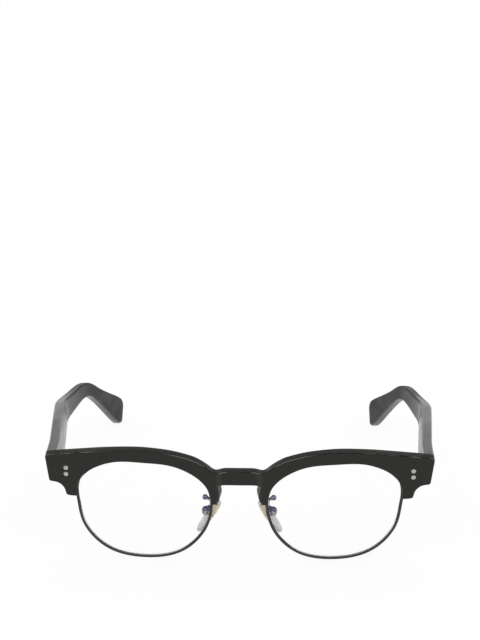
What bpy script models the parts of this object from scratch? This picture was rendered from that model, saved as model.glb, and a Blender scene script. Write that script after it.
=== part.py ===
"""Browline eyeglasses: an acetate brow with two thin metal rims, clear lenses and folding temples.

Metres, +Z up, +Y back towards the wearer, +X the wearer's left. The glasses stand on the
lowest points of the two rims and of the two temple tips, with the temples open.

The front is drawn flat, x across and z up from the lowest visible point of the lenses, with
y = 0 on its front face. It is then bent round an upright cylinder and leant forward by the
temples that it stands on.
"""

import math

import bmesh
import bpy
from mathutils import Matrix, Vector

# Lenses
LENS_WIDTH = 0.0500
LENS_HEIGHT = 0.0396
LENS_DISTANCE = 0.0210
LENS_THICKNESS = 0.0020
LENS_BULGE = 0.0010
LENS_BEVEL = 0.00025
LENS_BEVEL_WIDTH = 0.0005
LENS_EDGE_GAP = 0.0001
# Radius at every 30 degrees from the temple side, as shares of the half width and half height
LENS_RADIUS_SHARES = (0.985, 1.108, 1.074, 0.99, 1.052, 1.076, 0.985, 0.973, 1.005, 1.0, 1.028, 0.999)

# Metal rims
RIM_WALL = 0.0010
RIM_DEPTH = 0.0013
RIM_EDGE = 0.00015
GROOVE_DEPTH = 0.00035
GROOVE_WIDTH = 0.0006
JOIN_SHARE = 0.66

# Brow
BROW_THICKNESS = 0.0040
BROW_RISE = 0.0049
BROW_LIP = 0.0013
BROW_EDGE = 0.0004
RIM_REVEAL = 0.00015
# Across the lens width from the nose side, and up the rise
BROW_TOP_SHARES = (
    (0.03, -0.20), (0.09, 0.20), (0.15, 0.47), (0.27, 0.78), (0.39, 0.94), (0.55, 1.0),
    (0.75, 0.84), (0.93, 0.58),
)
BEND_RADIUS = 0.320
BEND_SLICE = 0.006

# Bridge
BRIDGE_DROP = 0.0075
BRIDGE_HEIGHT = 0.0055
BRIDGE_PROUD = 0.0007
# Across half the lens distance, and up the bridge height
BRIDGE_TOP_SHARES = ((0.0, 1.0), (0.30, 1.0), (0.55, 0.985), (0.70, 0.90), (0.875, 0.79))
BRIDGE_PROUD_SHARES = (0.62, 0.90)
BRIDGE_LOW_SHARE = 0.56

# Nose lobes
NOSE_LOBE_DROP = 0.0087
NOSE_FLARE = 0.0013
# Across half the lens distance, down the lobe's drop, and how much of the flare
NOSE_SIDE_SHARES = (
    (0.875, 0.99, 0.1), (0.80, 0.94, 0.3), (0.695, 0.76, 0.6), (0.625, 0.53, 1.0), (0.605, 0.34, 1.0),
    (0.64, 0.17, 0.5), (0.69, 0.05, 0.0),
)

# End pieces
END_OVERHANG = 0.0029
END_RISE = 0.0001
END_HEIGHT = 0.0109
END_CORNER = 0.0008
END_CANT_ANGLE = math.radians(7.5)
SCOOP_RADIUS = 0.0043
SIDE_LOBE_TAIL = 0.0008
SIDE_LOBE_WIDTH = 0.0044
SIDE_LOBE_CORNER = 0.0007

# Closing block of each rim, on the temple side, with the brow's pocket round it
LOCK_HEIGHT = 0.0032
LOCK_REACH = 0.0032
LOCK_DEPTH = 0.0019
LOCK_SLIT = 0.0003
LOCK_BORE_RADIUS = 0.00055
LOCK_BORE_REACH = 0.0021
POCKET_ABOVE_TAB = 0.0003
POCKET_SINK = 0.0001

# Tabs that fix each rim to the brow
TAB_RADIUS = 0.0011
TAB_THICKNESS = 0.0009
TAB_NECK_SHARE = 0.7
TAB_BORE_RADIUS = 0.00055
SIDE_TAB_ABOVE_LOCK = 0.0004
SIDE_TAB_REACH = 0.0022
NOSE_TAB_ABOVE_LOBE = 0.0047
NOSE_TAB_REACH = 0.0021
PILOT_DEPTH = 0.0009

# Small screws
SCREW_RADIUS = 0.0004
SCREW_HEAD_RADIUS = 0.0009
SCREW_HEAD_HEIGHT = 0.0006
SCREW_SLOT = 0.0003
SCREW_SLOT_SHARE = 0.45
SCREW_POINT_SHARE = 0.6
# Of the head's radius at its top, and of its height at its shoulder
SCREW_CROWN_SHARES = (0.7, 0.65)
LOCK_SCREW_LENGTH = 0.0028

# Gaps between pieces that touch on the real object
SEAT_GAP = 0.0002
RUN_GAP = 0.0003
OVERRUN = 0.0030

# Hinges
KNUCKLES = 5
KNUCKLE_RADIUS = 0.00125
KNUCKLE_HEIGHT = 0.00115
KNUCKLE_GAP = 0.0001
HINGE_DROP = 0.0059
HINGE_BORE_RADIUS = 0.00070
HINGE_PIN_RADIUS = 0.00062
HINGE_HEAD_RADIUS = 0.00105
HINGE_HEAD_HEIGHT = 0.0006
LEAF_THICKNESS = 0.0009
LEAF_PROUD = 0.0001
LEAF_REACH = 0.0048
LEAF_TOE = 0.0007
WEB_WIDTH = 0.0006

# Rivets
RIVET_HEAD_RADIUS = 0.0009
RIVET_HEAD_LENGTH = 0.0010
RIVET_PROUD = 0.0001
RIVET_RADIUS = 0.0006
RIVET_UPSET_RADIUS = 0.00085
RIVET_UPSET_HEIGHT = 0.0003
RIVET_CLEARANCE = 0.0001
RIVET_FACE_SHARE = 0.72
RIVET_UPSET_SHARE = 0.7
RIVET_FROM_END = 0.0074
RIVET_PITCH = 0.00255
TEMPLE_RIVET_REACH = 0.0033
TEMPLE_RIVET_PITCH = 0.0043

# Temples, measured along their middle line from the hinge axis
TEMPLE_LENGTH = 0.1350
TEMPLE_HEIGHT = 0.0102
TEMPLE_THICKNESS = 0.0039
TEMPLE_EDGE = 0.0008
TEMPLE_DROP_ANGLE = math.radians(7.0)
TEMPLE_RISE = 0.00096
SPREAD_START = 0.0070
SPREAD_LENGTH = 0.0120
SPREAD_ANGLE = math.radians(3.6)
KINK_START = 0.0530
KINK_LENGTH = 0.0130
KINK_ANGLE = math.radians(16.5)
EAR_BEND_START = 0.0765
EAR_BEND_LENGTH = 0.0240
EAR_BEND_ANGLE = math.radians(33.0)
TIP_ROUND = 0.0055
TEMPLE_EDGE_SHARE = 0.3
# Of the height and of the thickness, at the very end of the tip
TIP_END_SHARES = (0.42, 0.55)
# Along the length, then shares of the height and of the thickness
TEMPLE_FORM_SHARES = (
    (-0.03, 1.0, 1.0), (0.10, 1.0, 1.0), (0.26, 0.99, 1.0), (0.42, 0.89, 1.0), (0.55, 0.66, 0.92),
    (0.66, 0.56, 0.86), (0.76, 0.58, 0.84), (0.86, 0.80, 0.84), (0.94, 1.02, 0.84), (1.0, 1.06, 0.84),
)
STRAIGHT_STEP = 0.0120
BENT_STEP = 0.0045

# Core wires inside the temples
CORE_RADIUS = 0.0006
CORE_CHANNEL_RADIUS = 0.0008
CORE_START = 0.0015
CORE_END = 0.0980
CORE_DROP = 0.00047
CORE_INSET = 0.0018
CORE_STEP = 0.0080

# Nose pads
PAD_LENGTH = 0.0145
PAD_WIDTH = 0.0075
PAD_THICKNESS = 0.0018
PAD_LEAN_ANGLE = math.radians(36.0)
PAD_SPLAY_ANGLE = math.radians(6.0)
PAD_ASIDE = 0.0019
PAD_BEHIND = 0.0065
PAD_SET_BACK = 0.0013
PAD_BELOW_LOBE = 0.0051
PAD_ROCK_GAP = 0.00035
PAD_BELOW_BOX = 0.0018
PAD_BOX_RADIUS = 0.0016
PAD_BOX_WIDTH = 0.0026
PAD_SLOT_WIDTH = 0.0014
PAD_SLOT_DEPTH = 0.00125
PAD_BOSS_WIDTH = 0.0010
PAD_BOSS_RADIUS = 0.0010
PAD_SCREW_RADIUS = 0.0005
PAD_BORE_RADIUS = 0.0006
PAD_HEAD_RADIUS = 0.0010
# Through the thickness, and how far in from the outline as shares of the half width
PAD_LAYER_SHARES = (
    (0.0, 0.16), (0.14, 0.03), (0.32, 0.0), (0.55, 0.0), (0.80, 0.10), (0.94, 0.32), (1.0, 0.66),
)

# Pad arms
ARM_RADIUS = 0.0005
ARM_FOOT_WIDTH = 0.0012
ARM_FOOT_DEPTH = 0.0016
ARM_FOOT_HEIGHT = 0.0046
ARM_FOOT_BELOW_LOBE = 0.0006
ARM_BEHIND_BROW = 0.0003
ARM_LOOP_RADIUS = 0.0008
ARM_LOOP_ASIDE = 0.0018
ARM_LOOP_ABOVE_BOX = 0.0056
# The loop's places round its middle, with how far back each lies between brow and box
ARM_LOOP_SHARES = ((155, 0.0), (90, 0.15), (25, 0.35), (-40, 0.6), (-105, 0.8), (-160, 0.95))
# Where the wire meets the box, and a place above it, of the box's radius
ARM_END_SHARES = (0.15, 0.8)
ARM_TURN_SHARES = (0.0, 1.6)

# How the meshes are made
MERGE_GAP = 0.00000001
SLIVER_GAP = 0.0000001
FLAT_ANGLE = math.radians(0.05)
SHARP_ANGLE = math.radians(32.0)
OUTLINE_STEPS = 48
ROUND_SIDES = 18
PAD_SIDES = 26
SCREW_SIDES = 14
WIRE_SIDES = 8
SIDES = (("left", 1.0), ("right", -1.0))


def clear_scene():
    for obj in list(bpy.data.objects):
        bpy.data.objects.remove(obj, do_unlink=True)


def material(name, colour, roughness, metallic, alpha=1.0, transmission=0.0):
    made = bpy.data.materials.new(name)
    made.use_nodes = True
    shader = made.node_tree.nodes["Principled BSDF"]
    shader.inputs["Base Color"].default_value = (*colour, 1.0)
    shader.inputs["Roughness"].default_value = roughness
    shader.inputs["Metallic"].default_value = metallic
    shader.inputs["Alpha"].default_value = alpha
    shader.inputs["Transmission Weight"].default_value = transmission
    return made


def mirrored_matrix(matrix):
    flip = Matrix.Diagonal((-1.0, 1.0, 1.0, 1.0))
    return flip @ matrix @ flip


def mesh_of(bm, name):
    """The finished shape as a mesh of triangles, which stay flat through every later cut."""
    bmesh.ops.remove_doubles(bm, verts=bm.verts, dist=MERGE_GAP)
    bmesh.ops.triangulate(bm, faces=bm.faces)
    bmesh.ops.recalc_face_normals(bm, faces=bm.faces)
    mesh = bpy.data.meshes.new(name)
    bm.to_mesh(mesh)
    bm.free()
    return mesh


def moved(mesh, matrix):
    """The mesh with its points moved, and its faces turned back out after a mirroring."""
    mesh.transform(matrix)
    if matrix.determinant() < 0:
        mesh.flip_normals()
    return mesh


def skin(name, rings, closed=False):
    """A closed shape through rings of equally many points, capped unless the rings close."""
    bm = bmesh.new()
    rows = [[bm.verts.new(point) for point in ring] for ring in rings]
    count = len(rows[0])
    pairs = list(zip(rows, rows[1:]))
    if closed:
        pairs.append((rows[-1], rows[0]))
    else:
        bm.faces.new(rows[0])
        bm.faces.new(list(reversed(rows[-1])))
    for near, far in pairs:
        for i in range(count):
            j = (i + 1) % count
            bm.faces.new((near[i], far[i], far[j], near[j]))
    return mesh_of(bm, name)


def box(low, high):
    """A box between two corners, as a mesh."""
    bm = bmesh.new()
    bmesh.ops.create_cube(bm, size=1.0)
    size = Vector(high) - Vector(low)
    middle = (Vector(high) + Vector(low)) / 2
    bmesh.ops.scale(bm, vec=size, verts=bm.verts)
    bmesh.ops.translate(bm, vec=middle, verts=bm.verts)
    return mesh_of(bm, "box")


def turned(profile, name="turned", sides=ROUND_SIDES):
    """A solid of revolution about Z, from (radius, height) pairs whose ends lie on the axis."""
    rings = []
    for radius, height in profile:
        ring = []
        for i in range(sides):
            angle = 2 * math.pi * i / sides
            ring.append(Vector((radius * math.cos(angle), radius * math.sin(angle), height)))
        rings.append(ring)
    return skin(name, rings)


def rod(radius, low, high, sides=ROUND_SIDES):
    return turned(((radius, low), (radius, high)), "rod", sides)


AXIS_TURNS = {
    "x": Matrix.Rotation(math.pi / 2, 4, "Y"),
    "y": Matrix.Rotation(-math.pi / 2, 4, "X"),
    "z": Matrix.Identity(4),
}


def rod_along(axis, radius, low, high, place, sides=ROUND_SIDES):
    """A round bar along one axis, from low to high on it, through the given place."""
    return moved(rod(radius, low, high, sides), Matrix.Translation(place) @ AXIS_TURNS[axis])


def combined(mesh, others, operation):
    """The mesh joined with each of the others in turn, or with each of them cut out of it."""
    for other in others:
        body = bpy.data.objects.new("body", mesh)
        tool = bpy.data.objects.new("tool", other)
        tool.hide_render = True
        tool.display_type = "WIRE"
        for obj in (body, tool):
            bpy.context.scene.collection.objects.link(obj)
        modifier = body.modifiers.new("shape", "BOOLEAN")
        modifier.operation = operation
        modifier.solver = "EXACT"
        modifier.object = tool
        bpy.context.view_layer.update()
        graph = bpy.context.evaluated_depsgraph_get()
        bm = bmesh.new()
        bm.from_mesh(body.evaluated_get(graph).data)
        bmesh.ops.dissolve_degenerate(bm, dist=SLIVER_GAP, edges=bm.edges)
        mesh = mesh_of(bm, "shape")
        for obj in (body, tool):
            bpy.data.objects.remove(obj, do_unlink=True)
    return mesh


def joined(mesh, others):
    return combined(mesh, others, "UNION")


def cut(mesh, others):
    return combined(mesh, others, "DIFFERENCE")


def catmull_rom(a, b, c, d, t):
    """A value between b and c on the smooth curve through a, b, c and d."""
    bow = (a * 2 - b * 5 + c * 4 - d) * (t * t / 2)
    return b + (c - a) * (t / 2) + bow + (b * 3 - a - c * 3 + d) * (t**3 / 2)


def smooth_line(points, steps):
    """Points along the smooth curve through the given ones, with so many steps between each two."""
    ends = [points[0] * 2 - points[1]] + list(points) + [points[-1] * 2 - points[-2]]
    line = []
    for i in range(len(points) - 1):
        for k in range(steps):
            line.append(catmull_rom(*ends[i : i + 4], k / steps))
    return line + [points[-1]]


def arc(centre, radius, start, end, steps):
    """Points (x, z) of a round stretch, with the angles in radians."""
    points = []
    for i in range(steps + 1):
        angle = start + (end - start) * i / steps
        points.append(Vector((centre[0] + radius * math.cos(angle), centre[1] + radius * math.sin(angle))))
    return points


# Places that follow from the sizes
NOSE_EDGE = LENS_DISTANCE / 2
LENS_MIDDLE = NOSE_EDGE + LENS_WIDTH / 2
SEEN_HALF_WIDTH = LENS_WIDTH / 2 - LENS_BEVEL
SEEN_HALF_HEIGHT = LENS_HEIGHT / 2 - LENS_BEVEL
LENS_TOP = 2 * SEEN_HALF_HEIGHT
RIM_FRONT = BROW_LIP + SEAT_GAP
RIM_MIDDLE = RIM_FRONT + RIM_DEPTH / 2
RIM_BACK = RIM_FRONT + RIM_DEPTH
BRIDGE_LOW_EDGE = LENS_TOP - BRIDGE_DROP
END_HALF_WIDTH = NOSE_EDGE + LENS_WIDTH + SIDE_LOBE_WIDTH + SCOOP_RADIUS + END_OVERHANG
END_TOP = LENS_TOP + END_RISE
HINGE_LEVEL = END_TOP - HINGE_DROP
RIVET_PLACE = END_HALF_WIDTH - RIVET_FROM_END
SIDE_LOBE_BOTTOM = END_TOP - END_HEIGHT - SCOOP_RADIUS - SIDE_LOBE_TAIL
LOCK_LEVEL = SIDE_LOBE_BOTTOM + SCREW_HEAD_HEIGHT + SEAT_GAP * 2 + LOCK_HEIGHT / 2
SIDE_TAB_LEVEL = LOCK_LEVEL + LOCK_HEIGHT / 2 + SIDE_TAB_ABOVE_LOCK + TAB_RADIUS
NOSE_LOBE_BOTTOM = BRIDGE_LOW_EDGE - NOSE_LOBE_DROP
NOSE_TAB_LEVEL = NOSE_LOBE_BOTTOM + NOSE_TAB_ABOVE_LOBE
PAD_SIDE = NOSE_EDGE + PAD_ASIDE
PAD_LEVEL = NOSE_LOBE_BOTTOM - PAD_BELOW_LOBE
ARM_FOOT_LEVEL = NOSE_LOBE_BOTTOM - ARM_FOOT_BELOW_LOBE - ARM_FOOT_HEIGHT / 2
ARM_LOOP_LEVEL = PAD_LEVEL + ARM_LOOP_ABOVE_BOX
LEAF_OFFSET = KNUCKLE_RADIUS + RUN_GAP
KNUCKLE_PITCH = KNUCKLE_HEIGHT + KNUCKLE_GAP
KNUCKLES_HEIGHT = KNUCKLES * KNUCKLE_HEIGHT + (KNUCKLES - 1) * KNUCKLE_GAP


def lens_point(angle, offset=0.0):
    """A point (x, z) of the lens as seen inside its rim, at an angle, moved out by an offset."""

    def radius_share(turn):
        count = len(LENS_RADIUS_SHARES)
        place = (turn / (2 * math.pi)) % 1.0 * count
        i = int(place)
        near = [LENS_RADIUS_SHARES[(i + k) % count] for k in (-1, 0, 1, 2)]
        return catmull_rom(*near, place - i)

    def on_outline(turn):
        share = radius_share(turn)
        return Vector((
            LENS_MIDDLE + SEEN_HALF_WIDTH * share * math.cos(turn),
            SEEN_HALF_HEIGHT + SEEN_HALF_HEIGHT * share * math.sin(turn),
        ))

    nudge = math.pi / 180
    along = on_outline(angle + nudge) - on_outline(angle - nudge)
    out = Vector((along.y, -along.x)).normalized()
    return on_outline(angle) + out * offset


def angle_at(level, side, offset):
    """The angle where the outline's nose side (-1) or temple side (+1) crosses a level."""
    low, high = (-math.pi / 2, math.pi / 2) if side > 0 else (math.pi * 3 / 2, math.pi / 2)
    for _ in range(40):
        middle = (low + high) / 2
        if lens_point(middle, offset).y < level:
            low = middle
        else:
            high = middle
    return (low + high) / 2


def rim_edge_at(level, side, offset=0.0):
    """How far out the outline lies at a level on its nose side or temple side."""
    return lens_point(angle_at(level, side, offset), offset).x


def lens_ring(offset, y, scale=1.0):
    """The lens outline, moved out by an offset or scaled about its middle, at a depth."""
    ring = []
    for i in range(OUTLINE_STEPS):
        point = lens_point(2 * math.pi * i / OUTLINE_STEPS, offset)
        x = LENS_MIDDLE + (point.x - LENS_MIDDLE) * scale
        z = SEEN_HALF_HEIGHT + (point.y - SEEN_HALF_HEIGHT) * scale
        ring.append(Vector((x, y, z)))
    return ring


def bridge_push(x):
    """How far forward of the brow's face the bridge stands at a place across the front."""
    near, far = (share * NOSE_EDGE for share in BRIDGE_PROUD_SHARES)
    t = min(max((far - abs(x)) / (far - near), 0.0), 1.0)
    return BRIDGE_PROUD * t * t * (3 - 2 * t)


def bend_point(point, proud=False):
    """A point of the flat front on the bent front."""
    y = point.y - (bridge_push(point.x) if proud else 0.0)
    turn = point.x / BEND_RADIUS
    radius = BEND_RADIUS - y
    return Vector((radius * math.sin(turn), BEND_RADIUS - radius * math.cos(turn), point.z))


def bend_frame(x, y, z):
    """The place and turn of the bent front at a point of the flat one."""
    return Matrix.Translation(bend_point(Vector((x, y, z)))) @ Matrix.Rotation(x / BEND_RADIUS, 4, "Z")


def bent(mesh, proud=False):
    """The flat mesh sliced upright and bent, with its faces cut into triangles first."""
    bm = bmesh.new()
    bm.from_mesh(mesh)
    bmesh.ops.dissolve_limit(bm, angle_limit=FLAT_ANGLE, verts=bm.verts, edges=bm.edges)
    reach = max(abs(vert.co.x) for vert in bm.verts)
    slices = int(reach / BEND_SLICE)
    for i in range(-slices, slices + 1):
        geometry = bm.verts[:] + bm.edges[:] + bm.faces[:]
        bmesh.ops.bisect_plane(
            bm, geom=geometry, dist=SLIVER_GAP, plane_co=(i * BEND_SLICE, 0.0, 0.0), plane_no=(1.0, 0.0, 0.0)
        )
    bmesh.ops.triangulate(bm, faces=bm.faces)
    for vert in bm.verts:
        vert.co = bend_point(vert.co, proud)
    return mesh_of(bm, mesh.name)


def side_place(z, y):
    """How far out the end piece's side lies in the flat drawing, so that it bends into a plane."""
    out = END_HALF_WIDTH - (END_TOP - z) * math.tan(END_CANT_ANGLE)
    return BEND_RADIUS * math.asin(out / (BEND_RADIUS - y))


def brow_half(depth):
    """Points (x, z) of half the brow's outline at a depth, from the top middle out and round."""
    top = [Vector((x * NOSE_EDGE, BRIDGE_LOW_EDGE + z * BRIDGE_HEIGHT)) for x, z in BRIDGE_TOP_SHARES]
    top += [Vector((NOSE_EDGE + x * LENS_WIDTH, LENS_TOP + z * BROW_RISE)) for x, z in BROW_TOP_SHARES]
    corner = Vector((side_place(END_TOP, depth) - END_CORNER, END_TOP))
    top.append(corner)
    points = smooth_line(top, 2)[:-1]
    points += arc((corner.x, corner.y - END_CORNER), END_CORNER, math.pi / 2, 0.0, 3)
    end_bottom = END_TOP - END_HEIGHT
    points.append(Vector((side_place(end_bottom, depth), end_bottom)))
    opening_low = angle_at(SIDE_LOBE_BOTTOM, 1, RIM_REVEAL)
    lobe_side = lens_point(opening_low, RIM_REVEAL).x + SIDE_LOBE_WIDTH
    scoop_middle = (lobe_side + SCOOP_RADIUS, end_bottom - SCOOP_RADIUS)
    points += arc(scoop_middle, SCOOP_RADIUS, math.pi / 2, math.pi, 6)
    corner_middle = (lobe_side - SIDE_LOBE_CORNER, SIDE_LOBE_BOTTOM + SIDE_LOBE_CORNER)
    points += arc(corner_middle, SIDE_LOBE_CORNER, 0.0, -math.pi / 2, 3)
    opening_end = angle_at(NOSE_LOBE_BOTTOM, -1, RIM_REVEAL)
    steps = OUTLINE_STEPS // 2
    for i in range(steps + 1):
        angle = opening_low + (opening_end - opening_low) * i / steps
        points.append(lens_point(angle, RIM_REVEAL))
    drop = BRIDGE_LOW_EDGE - NOSE_LOBE_BOTTOM
    flare = NOSE_FLARE * (1 - depth / BROW_THICKNESS)
    nose = []
    for x, down, flared in NOSE_SIDE_SHARES:
        nose.append(Vector((x * NOSE_EDGE + flare * flared, BRIDGE_LOW_EDGE - down * drop)))
    points += smooth_line(nose, 2)
    points.append(Vector((BRIDGE_LOW_SHARE * NOSE_EDGE, BRIDGE_LOW_EDGE)))
    points.append(Vector((0.0, BRIDGE_LOW_EDGE)))
    return points


def brow_blank():
    """The solid brow before its seats and holes, with its front and back edges eased."""
    loops = []
    for depth in (0.0, BROW_THICKNESS):
        half = brow_half(depth)
        other = [Vector((-point.x, point.y)) for point in reversed(half[1:-1])]
        loops.append([Vector((point.x, depth, point.y)) for point in half + other])
    bm = bmesh.new()
    front, back = ([bm.verts.new(point) for point in loop] for loop in loops)
    count = len(front)
    for i in range(count):
        j = (i + 1) % count
        bm.faces.new((front[i], back[i], back[j], front[j]))
    bm.faces.new(front)
    bm.faces.new(list(reversed(back)))
    bmesh.ops.recalc_face_normals(bm, faces=bm.faces)
    bm.edges.ensure_lookup_table()
    ring = set(front) | set(back)
    rims = [
        edge for edge in bm.edges
        if edge.verts[0] in ring and (edge.verts[0] in front) == (edge.verts[1] in front)
    ]
    bmesh.ops.bevel(
        bm, geom=rims, offset=BROW_EDGE, offset_type="OFFSET", segments=2, profile=0.5,
        affect="EDGES", material=-1, clamp_overlap=True,
    )
    return mesh_of(bm, "brow")


def lock_box(grow):
    """The rim's closing block, or with a gap round it the room that it needs."""
    edge = rim_edge_at(LOCK_LEVEL, 1)
    low = (edge + RIM_WALL * JOIN_SHARE, RIM_FRONT - grow, LOCK_LEVEL - LOCK_HEIGHT / 2 - grow)
    high = (edge + LOCK_REACH + grow, RIM_FRONT + LOCK_DEPTH + grow, LOCK_LEVEL + LOCK_HEIGHT / 2 + grow)
    return low, high


def tab_places():
    """The middles (x, z) of the tabs on the temple side and on the nose side of a rim."""
    return (
        (rim_edge_at(SIDE_TAB_LEVEL, 1) + SIDE_TAB_REACH, SIDE_TAB_LEVEL, 1),
        (rim_edge_at(NOSE_TAB_LEVEL, -1) - NOSE_TAB_REACH, NOSE_TAB_LEVEL, -1),
    )


def tab_shape(x, z, side, grow, near, far):
    """A round tab with its neck to the rim, between two depths, or with a gap round it its pocket."""
    radius = TAB_RADIUS + grow
    half = TAB_RADIUS * TAB_NECK_SHARE + grow
    start = math.asin(half / radius)
    rim_end = rim_edge_at(z, side, RIM_WALL * JOIN_SHARE)
    round_part = arc((0.0, 0.0), radius, start, 2 * math.pi - start, ROUND_SIDES)
    outline = [Vector((x - side * p.x, z + p.y)) for p in round_part]
    outline += [Vector((rim_end, z - half)), Vector((rim_end, z + half))]
    return skin("tab", [[Vector((p.x, y, p.y)) for p in outline] for y in (near, far)])


def hinge_frame():
    """The hinge axis in the front's own frame: Z along it, Y to the back, X outwards."""
    to_side = LEAF_OFFSET + TEMPLE_THICKNESS
    level = END_TOP - HINGE_LEVEL
    out = END_HALF_WIDTH - (to_side + level * math.sin(END_CANT_ANGLE)) / math.cos(END_CANT_ANGLE)
    depth = BROW_THICKNESS + LEAF_OFFSET
    flat = BEND_RADIUS * math.asin(out / (BEND_RADIUS - depth))
    place = bend_point(Vector((flat, depth, HINGE_LEVEL)))
    return Matrix.Translation(place) @ Matrix.Rotation(END_CANT_ANGLE, 4, "Y")


def end_turn():
    """How far the end piece's back is turned from square at the hinge."""
    return math.asin(hinge_frame().translation.x / (BEND_RADIUS - BROW_THICKNESS - LEAF_OFFSET))


def rivet_frames():
    """The frames of the front rivets, with Y running back into the end piece."""
    middle = HINGE_LEVEL
    return [bend_frame(RIVET_PLACE, 0.0, middle + step * RIVET_PITCH / 2) for step in (1, -1)]


def brow_mesh():
    blank = brow_blank()
    behind = BROW_THICKNESS + OVERRUN
    tools = []
    for _, sign in SIDES:
        flip = Matrix.Diagonal((sign, 1.0, 1.0, 1.0))
        room = RIM_WALL + SEAT_GAP
        seat = skin("seat", [lens_ring(room, BROW_LIP), lens_ring(room, behind)])
        low, high = lock_box(SEAT_GAP)
        (side_x, side_z, _), (nose_x, nose_z, _) = tab_places()
        pocket_top = side_z + TAB_RADIUS + POCKET_ABOVE_TAB
        floor = BROW_LIP - POCKET_SINK
        pocket = box((low[0] - RIM_WALL, floor, low[2] - OVERRUN), (high[0], behind, pocket_top))
        nose_pocket = tab_shape(nose_x, nose_z, -1, SEAT_GAP, floor, behind)
        pilot_start = BROW_LIP - PILOT_DEPTH
        for mesh in (seat, pocket, nose_pocket):
            tools.append(moved(mesh, flip))
        for x, z, _ in tab_places():
            pilot = rod_along("y", SCREW_RADIUS + SEAT_GAP / 2, pilot_start, behind, (x, 0.0, z), WIRE_SIDES)
            tools.append(moved(pilot, flip))
        for step in (1, -1):
            place = (RIVET_PLACE, 0.0, HINGE_LEVEL + step * RIVET_PITCH / 2)
            hole = rod_along("y", RIVET_HEAD_RADIUS + RIVET_CLEARANCE, -OVERRUN, behind, place)
            tools.append(moved(hole, flip))
        tools.append(moved(leaf_recess(), flip))
    return bent(cut(blank, tools), proud=True)


def leaf_recess():
    """The room for a front hinge leaf in the flat brow."""
    flat_axis = BEND_RADIUS * end_turn()
    half = KNUCKLES_HEIGHT / 2 + SEAT_GAP
    low = (-LEAF_REACH - SEAT_GAP, BROW_THICKNESS + LEAF_PROUD - LEAF_THICKNESS - SEAT_GAP, -half)
    high = (KNUCKLE_RADIUS + SEAT_GAP, BROW_THICKNESS + OVERRUN, half)
    turn = Matrix.Translation((flat_axis, 0.0, HINGE_LEVEL)) @ Matrix.Rotation(END_CANT_ANGLE, 4, "Y")
    return moved(box(low, high), turn)


def rim_mesh():
    """A grooved ring with its closing block, slit and bore, and two tabs, bent like the brow."""
    half_groove = GROOVE_WIDTH / 2
    section = (
        (0.0, RIM_FRONT), (0.0, RIM_MIDDLE - half_groove), (GROOVE_DEPTH, RIM_MIDDLE),
        (0.0, RIM_MIDDLE + half_groove), (0.0, RIM_BACK), (RIM_WALL - RIM_EDGE, RIM_BACK),
        (RIM_WALL, RIM_BACK - RIM_EDGE), (RIM_WALL, RIM_FRONT + RIM_EDGE),
        (RIM_WALL - RIM_EDGE, RIM_FRONT),
    )
    ring = skin("rim", [lens_ring(offset, y) for offset, y in section], closed=True)
    low, high = lock_box(0.0)
    parts = [box(low, high)]
    for x, z, side in tab_places():
        parts.append(tab_shape(x, z, side, 0.0, RIM_FRONT, RIM_FRONT + TAB_THICKNESS))
    whole = joined(ring, parts)
    inside = rim_edge_at(LOCK_LEVEL, 1) - OVERRUN
    slit = box(
        (inside, RIM_FRONT - OVERRUN, LOCK_LEVEL - LOCK_SLIT / 2),
        (high[0] + OVERRUN, high[1] + OVERRUN, LOCK_LEVEL + LOCK_SLIT / 2),
    )
    place = lock_bore_place(0.0)
    bore = rod_along("z", LOCK_BORE_RADIUS, low[2] - OVERRUN, high[2] + SEAT_GAP, place, WIRE_SIDES)
    holes = [slit, bore]
    for x, z, _ in tab_places():
        holes.append(rod_along("y", TAB_BORE_RADIUS, 0.0, BROW_THICKNESS, (x, 0.0, z), WIRE_SIDES))
    return bent(cut(whole, holes))


def lock_bore_place(level):
    return (rim_edge_at(LOCK_LEVEL, 1) + LOCK_BORE_REACH, RIM_FRONT + LOCK_DEPTH / 2, level)


def lens_mesh():
    """A thin bowed lens whose pointed edge sits in the rim's groove."""
    edge = -LENS_EDGE_GAP
    half_bevel = LENS_BEVEL_WIDTH / 2
    front, back = RIM_MIDDLE - LENS_THICKNESS / 2, RIM_MIDDLE + LENS_THICKNESS / 2

    def bowed(offset, y, share):
        rim = lens_ring(offset, y, share)
        return [Vector((p.x, p.y - LENS_BULGE * (1 - share * share), p.z)) for p in rim]

    inner_shares = (0.12, 0.42, 0.74)
    rings = [bowed(edge, front, share) for share in inner_shares]
    rings += [bowed(edge, front, 1.0), lens_ring(edge, RIM_MIDDLE - half_bevel)]
    rings += [lens_ring(LENS_BEVEL, RIM_MIDDLE), lens_ring(edge, RIM_MIDDLE + half_bevel)]
    rings += [bowed(edge, back, 1.0)] + [bowed(edge, back, share) for share in reversed(inner_shares)]
    lens = skin("lens", rings)
    for vert in lens.vertices:
        vert.co = bend_point(vert.co)
    return lens


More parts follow.
